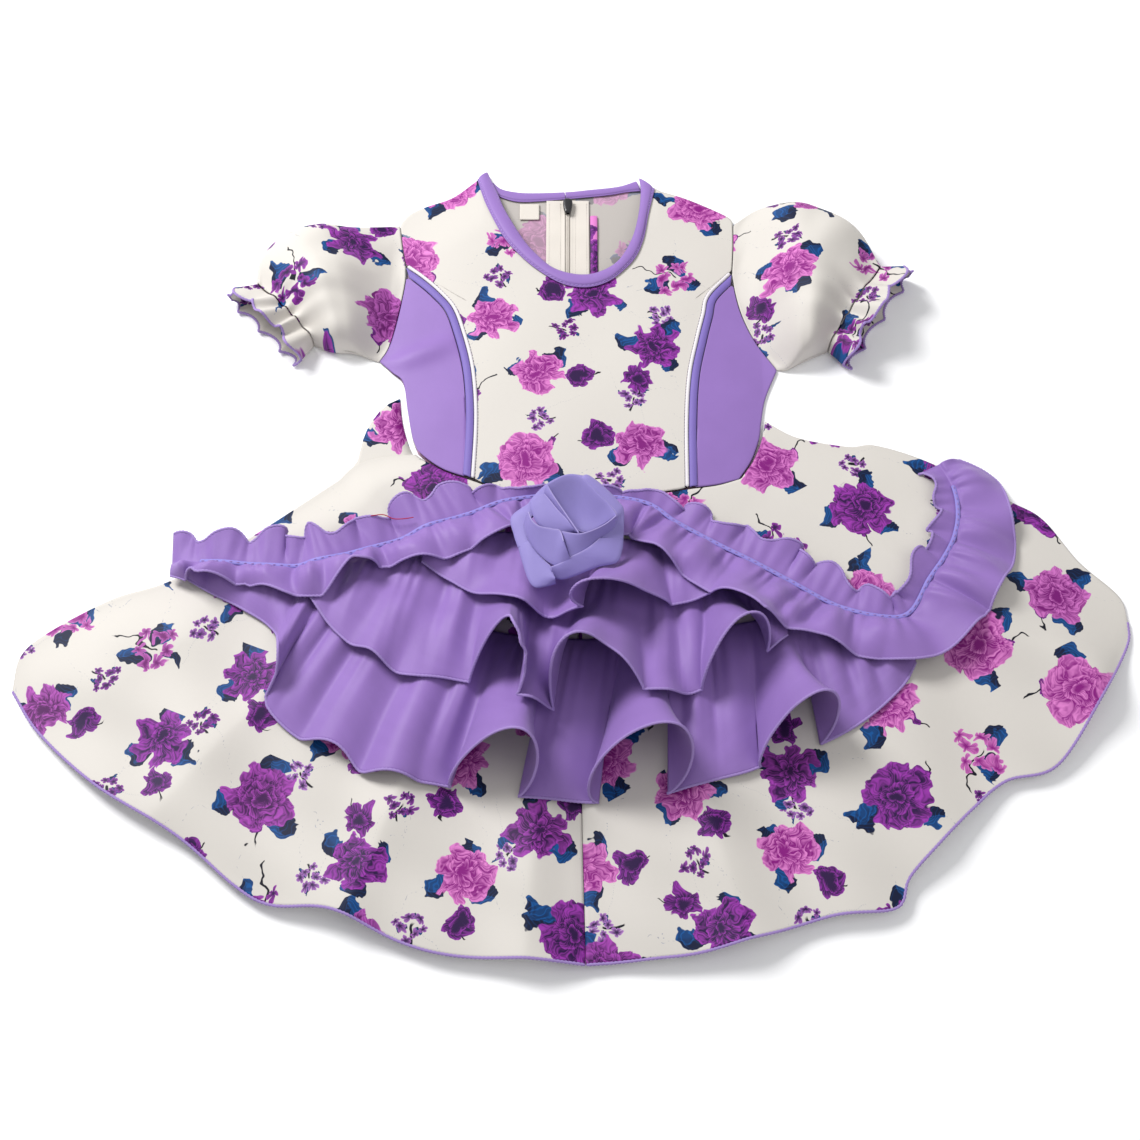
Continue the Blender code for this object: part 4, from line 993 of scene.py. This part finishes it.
class Pile:
    """The height of the cloth that already lies at each place, in small square cells."""

    CELL = 3 * MM
    REACH = 0.42

    def __init__(self):
        """Start with the bare table."""
        cells = int(2 * self.REACH / self.CELL)
        self.tops = np.zeros((cells, cells))
        self.rest = self.tops

    def add(self, surface):
        """Lay a surface on the pile, and ease the height on which the next one rests."""
        u, v = np.meshgrid(np.linspace(0, 1, 900), np.linspace(0, 1, 180), indexing="ij")
        places = surface(u, v).reshape(-1, 3)
        rows = ((places[:, 0] + self.REACH) / self.CELL).astype(int)
        columns = ((places[:, 1] + self.REACH) / self.CELL).astype(int)
        np.maximum.at(self.tops, (rows, columns), places[:, 2])
        eased = self.tops
        for blend in (np.max, np.max, np.mean, np.mean, np.mean):
            eased = blend([np.roll(eased, (i, j), (0, 1)) for i in (-1, 0, 1) for j in (-1, 0, 1)], axis=0)
        self.rest = eased

    def height(self, flat):
        """How high the pile is at flat places, linear between the cells' middles."""
        x = np.clip((flat[..., 0] + self.REACH) / self.CELL - 0.5, 0, len(self.rest) - 2)
        y = np.clip((flat[..., 1] + self.REACH) / self.CELL - 0.5, 0, len(self.rest) - 2)
        i, j = x.astype(int), y.astype(int)
        a, b = x - i, y - j
        near = (1 - b) * self.rest[i, j] + b * self.rest[i, j + 1]
        far = (1 - b) * self.rest[i + 1, j] + b * self.rest[i + 1, j + 1]
        return (1 - a) * near + a * far


def ruffle(seam_line, hem, flutes, rest_height, length, gather_pitch, gather_height):
    """A tier: flutes rise, lean and roll more towards the hem, and fine gathers fade away below the
    seam. Each flute is a squared cosine along the hem, and each gather a wave."""
    along_hem = unit(np.gradient(hem, axis=0))

    def surface(u, v):
        """Straight from the seam to the hem, with the flutes, gathers and soft creases added."""
        start, end = at(seam_line, u), at(hem, u)
        along = at(along_hem, u)
        inward = unit(start - end)
        flat = between(start, end, v)
        grown = v ** 1.6
        rise = 1.5 * MM * np.sin(np.pi * v)
        for fold in flutes:
            t = np.clip((u * length / MM - fold.place) / (fold.width / 2), -1, 1)
            bump = np.cos(np.pi * t / 2) ** 2
            sideways = (fold.lean * bump + fold.roll * np.sin(np.pi * t)) * MM * grown
            flat = flat + along * sideways[..., None]
            flat = flat + inward * (fold.retreat * MM * bump * grown)[..., None]
            rise = rise + fold.height * MM * bump * grown
        phase = 2 * np.pi * u * length / gather_pitch
        gathers = 0.5 + 0.5 * np.sin(phase + 1.4 * np.sin(phase * 0.31) + 0.8 * np.sin(phase * 0.13))
        rise = rise + gather_height * gathers * smooth(v * 9) * np.exp(-v * 3.2)
        creases = np.abs(np.sin(phase * 0.19 + 0.9 * np.sin(phase * 0.083))) ** 1.6
        rise = rise + 2.2 * gather_height * creases * np.sin(np.pi * v ** 0.8)
        return lifted(flat, rest_height(flat) + LAYER_GAP + rise)
    return surface


def evened(surface, count):
    """The same surface, stepped so that its last edge has even steps, flutes and all."""
    fine = np.linspace(0, 1, 3000)
    along = distances(surface(fine, np.ones(fine.shape)))
    steps = np.interp(np.linspace(0, along[-1], count + 1), along, fine)

    def even(u, v):
        """The surface at the fraction whose step along the last edge is u."""
        return surface(np.interp(u, np.linspace(0, 1, count + 1), steps), v)
    return even


pile = Pile()
for surface in pile_surfaces:
    pile.add(surface)
TIERS = [("tier_4", TIER_4_SEAM, TIER_4_HEM, TIER_4_FLUTES, 560, 56, (0.70, 0.11), 0.051),
         ("tier_3", TIER_3_SEAM, TIER_3_HEM, TIER_3_FLUTES, 420, 50, (0.50, 0.10), 0.032),
         ("tier_2", TIER_2_SEAM, TIER_2_HEM, TIER_2_FLUTES, 230, 36, (0.25, 0.07), 0.012)]
for name, seam_table, hem_table, flutes, across, down, cut, area in TIERS:
    seam_line, hem = joined(seam_table), joined(hem_table)
    surface = ruffle(seam_line, hem, flutes, pile.height, distances(hem)[-1], 11 * MM, 2 * MM)
    even = evened(surface, across)
    piece = cloth_piece(name, even, across, down, LAVENDER)
    overlock(f"{name}_hem", even, 1200)
    pile.add(surface)

knots = np.array([(station.x, station.y) for station in TIER_1_STATIONS], float)
line = spline(knots, LINE_POINTS) * MM
line_side = moved_in(line, 1) - line
line_length = distances(line)[-1]
stations = distances(knots) / distances(knots)[-1]
fractions = np.linspace(0, 1, LINE_POINTS)
heading = np.interp(fractions, stations, [station.heading for station in TIER_1_STATIONS]) * MM
frill = np.interp(fractions, stations, [station.frill for station in TIER_1_STATIONS]) * MM
frill_edge = line - line_side * frill[:, None]
lower = ruffle(line, frill_edge, TIER_1_FLUTES, pile.height, line_length, 9 * MM, 2.6 * MM)


def top_tier(u, v):
    """The frill below the gathering line, and above it the heading: an uneven wave that curls over."""
    up = np.clip(1 - v / HEADING_SHARE, 0, 1)
    below = lower(u, np.clip((v - HEADING_SHARE) / (1 - HEADING_SHARE), 0, 1))
    along = 2 * np.pi * u * line_length / HEADING_WAVE
    uneven = along + 1.5 * np.sin(0.37 * along) + 0.8 * np.sin(0.61 * along + 1)
    shift = at(line_side * heading[:, None], u) * (up * (1 + 0.2 * np.sin(0.83 * along + 1)))[..., None]
    along_line = at(np.gradient(line, axis=0) / (line_length / (LINE_POINTS - 1)), u)
    curled = along_line * (-HEADING_CURL * np.cos(uneven) * up)[..., None]
    wave = 0.5 + 0.5 * np.sin(uneven)
    fine = 0.25 * np.sin(3.1 * along) * np.exp(-up * 1.5)
    return below + lifted(shift + curled, HEADING_RISE * (wave + fine) * up)


piece = cloth_piece("tier_1", top_tier, 860, 54, LAVENDER)
overlock("tier_1_hem", top_tier, 1600)
overlock("tier_1_heading_edge", lambda u, v: top_tier(u, 1 - v), 1600)

# The gathering cord.
# A narrow flat cord, paler than the cloth, is stitched along the gathers of the top tier. A loose end
# of the red basting thread was left in the frill beside it.
PERIWINKLE_CORD = plain_material("Periwinkle cord", rgb(144, 134, 208), 0.5, 0.7 * MM, 0.1 * MM)
route = lower(np.linspace(0.03, 0.97, 700), np.zeros(700)) + np.array([0, 0, 1.6 * MM])
cord = tube("gathering_cord_band", route, 1.5 * MM, 0.6 * MM, PERIWINKLE_CORD, twist=0.05)
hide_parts("gathering_cord")
stitches("gathering_stitches", route + np.array([0, 0, 0.65 * MM]), 4.6 * MM, 3.0 * MM, 0.9 * MM, OVERLOCK)
pile.add(top_tier)
RED_THREAD = plain_material("Red basting thread", rgb(176, 30, 60), 0.6, 0.5 * MM, 0.05 * MM)
left_over = spline([(-128, 30), (-120, 31), (-113, 28), (-106, 27.5), (-100, 28)], 60) * MM
tube("loose_red_thread", lifted(left_over, pile.height(left_over) + 0.6 * MM), 0.35 * MM, 0.35 * MM,
     RED_THREAD, sides=6)

# The rosette.
# A rose folded from one periwinkle ribbon: five bands lie flat round the rim, and five more wrap round
# a deep hollow, each tucked under the next. Every upper edge is a pressed fold, with a paler bead on it
# as a painted highlight.
RibbonBand = namedtuple("RibbonBand", "outer inner low high bulge")
BANDS = [
    RibbonBand([(-29.7, 22.6), (-23.7, 33.7), (-14.4, 44.1), (-2.0, 50.8), (10.3, 49.8)],
               [(-14.4, 15.2), (-12.7, 26.8), (-7.6, 32.6), (0.1, 35.5), (7.8, 36.5)],
               1, 4, 0.6),
    RibbonBand([(-25.8, 30.1), (-36.9, 19.9), (-35.2, 7.4), (-32.4, -2.1)],
               [(-19.5, 22.4), (-27.5, 14.7), (-27.1, 7.0), (-22.0, -1.7)],
               0.6, 3.2, 0.7),
    RibbonBand([(7.3, 48.6), (11.6, 50.1), (21.4, 41.7), (30.9, 30.1), (33.8, 23.3), (33.3, 3.0)],
               [(4.4, 39.5), (9.5, 41.5), (18.0, 32.8), (28.6, 20.2), (26.5, 12.5), (17.1, 1.9)],
               1.5, 5.5, 0.5),
    RibbonBand([(-32.4, -1.3), (-29.7, -12.0), (-25.8, -24.5), (-22.0, -29.8), (-16.9, -29.8),
                (-8.8, -27.4)],
               [(-21.2, 1.6), (-18.6, -8.1), (-14.4, -13.9), (-11.8, -16.8), (-10.5, -22.6),
                (-9.3, -25.5)],
               0.6, 4.2, 0.8),
    RibbonBand([(33.4, 3.6), (32.4, -4.5), (29.0, -12.8), (17.1, -16.1), (3.5, -22.1),
                (-5.0, -24.8), (-11.4, -22.9)],
               [(18.0, 1.1), (17.1, 0.3), (12.9, -3.5), (6.1, -8.4), (-0.7, -12.2),
                (-5.8, -16.1), (-11.6, -19.0)],
               1.2, 6.6, 0.6),
    RibbonBand([(-14.5, 37.2), (-2.5, 43.9), (7.3, 42.1), (18.8, 29.1), (24.8, 22.3), (29.3, 14.6)],
               [(3.5, 10.6), (4.8, 9.7), (5.6, 9.2), (6.5, 9.0), (7.8, 9.0), (8.8, 9.2)],
               12.5, -1.0, -3.2),
    RibbonBand([(-16.7, 32.0), (-11.0, 25.4), (-4.2, 15.7), (3.5, 4.6)],
               [(-14.4, 37.0), (-10.1, 28.3), (-3.3, 16.7), (5.6, 1.7)],
               8.5, 12.2, 0.3),
    RibbonBand([(-25.4, 27.6), (-24.1, 21.3), (-19.0, 10.7), (-7.6, 4.9), (6.1, 4.9)],
               [(-15.9, 31.4), (-12.7, 27.4), (-7.6, 20.4), (-0.7, 11.5), (5.4, 3.0)],
               5.2, 10.2, 0.4),
    RibbonBand([(29.5, 16.5), (26.5, 8.8), (18.0, 1.1), (9.5, -6.7), (0.3, -13.6)],
               [(29.0, 14.4), (21.4, 8.1), (12.0, 3.3), (4.4, 1.7), (-5.4, 3.7)],
               5.2, 12.0, 0.6),
    RibbonBand([(-28.8, 13.4), (-27.1, 3.7), (-21.2, -6.9), (-12.7, -15.6), (-6.3, -17.7), (0.5, -13.8)],
               [(-25.8, 16.5), (-23.3, 10.2), (-18.6, 6.4), (-11.0, 4.9), (-6.0, 3.5), (-4.2, -4.3)],
               5.6, 13.4, 0.6)]
BANDS_IN_CAD = 6
ROSETTE_CENTRE = np.array([1 * MM, 13 * MM])
ROSETTE_REACH = 20 * MM
PERIWINKLE = plain_material("Periwinkle ribbon", rgb(143, 132, 194), 0.5, 0.8 * MM, 0.06 * MM, sheen=0.1)
# The pressed folds' bead is paler than the ribbon: a painted highlight where light catches each fold.
FOLD_HIGHLIGHT = plain_material("Pressed fold, painted highlight", rgb(164, 152, 206), 0.5, 0.8 * MM, 0.06 * MM)
under = ROSETTE_REACH * np.array([[x, y] for x in (-1, 0, 1) for y in (-1, 0, 1)])
rosette_floor = pile.height(ROSETTE_CENTRE + under).max()
for number, ribbon in enumerate(BANDS, 1):
    outer, inner = joined(ribbon.outer), joined(ribbon.inner)

    def band(u, v, ribbon=ribbon, outer=outer, inner=inner):
        """A strip from its outer to its inner edge: it swells by a half sine across and turns down at
        its folded inner edge."""
        flat = between(at(outer, u), at(inner, u), v)
        rise = ribbon.low + (ribbon.high - ribbon.low) * v + ribbon.bulge * np.sin(np.pi * v)
        fold = 1.5 * np.exp(-((1 - v) / 0.04) ** 2) + 0.5 * np.exp(-(v / 0.05) ** 2)
        slack = 0.35 * np.sin(2 * np.pi * u + 2 * v) * np.sin(np.pi * v)
        return lifted(flat, rosette_floor + LAYER_GAP + (rise - fold + slack) * MM)
    width = np.linalg.norm(outer - inner, axis=1).mean()
    length = distances((outer + inner) / 2)[-1]
    piece = cloth_piece(f"rosette_band_{number}", band, 90, 36, PERIWINKLE, wall=0.7 * MM,
                        node=number <= BANDS_IN_CAD)
    # A paler bead just inside each folded edge, as a painted highlight on the fold.
    pressed = band(np.linspace(0, 1, 200), np.full(200, 0.95)) + np.array([0, 0, 0.2 * MM])
    tube(f"rosette_fold_highlight_{number}", pressed, 0.5 * MM, 0.4 * MM, FOLD_HIGHLIGHT, sides=6)

# The sleeves.
# Short puffed sleeves of the printed satin, gathered by elastic above a waved frill whose edge is
# overlocked with lilac thread.
SLEEVE_LEFT_TOP = [(-122, 277), (-142, 274), (-160, 270), (-179, 267), (-197, 262), (-211, 250),
                   (-218, 236), (-218, 219)]
SLEEVE_LEFT_BOTTOM = [(-131.5, 161), (-148, 166), (-162, 167), (-175, 173)]
SLEEVE_RIGHT_TOP = [(117.5, 278), (133, 289), (147, 292), (161, 291), (177, 284), (193, 272), (208, 258),
                    (218, 235)]
SLEEVE_RIGHT_BOTTOM = [(142.5, 154), (150, 154), (164, 161), (176, 168)]
ARMHOLE_RISE = 3.6 * MM
SLEEVE_RISE = 16 * MM
CUFF_RISE = 15 * MM
FRILL_REACH = 17 * MM
FRILL_SPREAD = 0.14
CUFF_WAVES = 8
CUFF_WAVE_HEIGHT = 4 * MM
CUFF_CURL = 3 * MM


def once_round(u):
    """Up from 0 to 1 over the tube's upper half, and down again under it."""
    return np.where(u < 0.5, u * 2, 2 - u * 2)


def sleeve_surface(top, bottom, elastic, armhole):
    """A puffed tube: u runs round it and v from the armhole to the elastic. Its section is a lens, and
    gathers run in from both ends."""
    def surface(u, v):
        """The patch between the sleeve's edges, raised by the puff times the lens, with its gathers."""
        upper = u < 0.5
        turn = once_round(u)
        across = (1 - np.cos(np.pi * turn)) / 2
        flat = patch(top, bottom, armhole, elastic, v, across)
        puff = (front_height(flat) - WALL / 2) * (1 - smooth(v * 3))
        puff = puff + (ARMHOLE_RISE + SLEEVE_RISE * (1 - smooth((v - 0.55) / 0.45))) * smooth(v * 2.2)
        puff = puff + CUFF_RISE * smooth(v * 1.4)
        arch = np.where(upper, np.abs(np.sin(np.pi * turn)) ** 0.5, 0)
        cuff = np.sin(turn * 38 + 2 * np.sin(turn * 11)) * np.exp((v - 1) * 4) * 2.1 * MM
        head = np.sin(turn * 27 + 1) * np.exp(-v * 6) * smooth(v * 12) * 1.0 * MM
        soft = ripples(flat, 2.6 * MM, (10, 46, 0), (80, 58, 1), (130, 39, 2)) * np.sin(np.pi * v)
        loose = np.clip(np.minimum(turn, 1 - turn) * 12, 0, 1) * upper
        fold = 0.17 * np.exp(-(np.minimum(turn, 1 - turn) / 0.06) ** 2)
        return lifted(flat, WALL / 2 + puff * np.maximum(arch, fold) + (cuff + head + soft) * loose)
    return surface


sleeves = {
    "left": (SLEEVE_LEFT_TOP, SLEEVE_LEFT_BOTTOM, ARMHOLE_LEFT, UNDERARM_LEFT, -1, (70, (0.02, 0.02))),
    "right": (SLEEVE_RIGHT_TOP, SLEEVE_RIGHT_BOTTOM, ARMHOLE_RIGHT, UNDERARM_RIGHT, 1, (-15, (0.01, 0.04)))}
for side, (top_table, bottom_table, upper_armhole, under_armhole, hand, layout) in sleeves.items():
    top, bottom = joined(top_table), joined(bottom_table)
    armhole = moved_in(joined(upper_armhole, under_armhole), hand * 0.7 * MM)
    armhole[0], armhole[-1] = top[0], bottom[0]
    elastic = evenly(np.array([top[-1], bottom[-1]]), 20)
    surface = sleeve_surface(top, bottom, elastic, armhole)
    piece = cloth_piece(f"sleeve_{side}", surface, 280, 100, FLORAL, layout)

    run = elastic[-1] - elastic[0]
    out = np.array([run[1], -run[0]]) / np.linalg.norm(run) * -hand

    def cuff(u, v, surface=surface, out=out, run=run):
        """The frill past the elastic: it spreads and waves more towards its edge."""
        ring = surface(u, np.ones(u.shape))
        turn = once_round(u)
        phase = 2 * np.pi * CUFF_WAVES * u + 1.1 * np.sin(9 * u)
        lobes = np.sin(phase)
        away = out * (1.2 * MM + FRILL_REACH * v * (1 + 0.16 * lobes))[..., None]
        spread = run * ((1 - np.cos(np.pi * turn)) / 2 - 0.5)[..., None] * FRILL_SPREAD * v[..., None]
        curl = run / np.linalg.norm(run) * (-CUFF_CURL * v * np.cos(phase))[..., None]
        flat = ring[..., :2] + away + spread + curl * np.sin(np.pi * turn)[..., None]
        loose = np.where(u < 0.5, 1, 0.3) * np.sqrt(np.abs(np.sin(np.pi * turn)))
        lift = CUFF_WAVE_HEIGHT * v * (1 + lobes) * loose
        return lifted(flat, ring[..., 2] * (1 + 0.35 * v) + lift)
    piece = cloth_piece(f"cuff_frill_{side}", cuff, 360, 20, FLORAL, layout)
    overlock(f"cuff_edge_{side}", cuff, 700)

# The box round every shown piece but the table.
low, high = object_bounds()
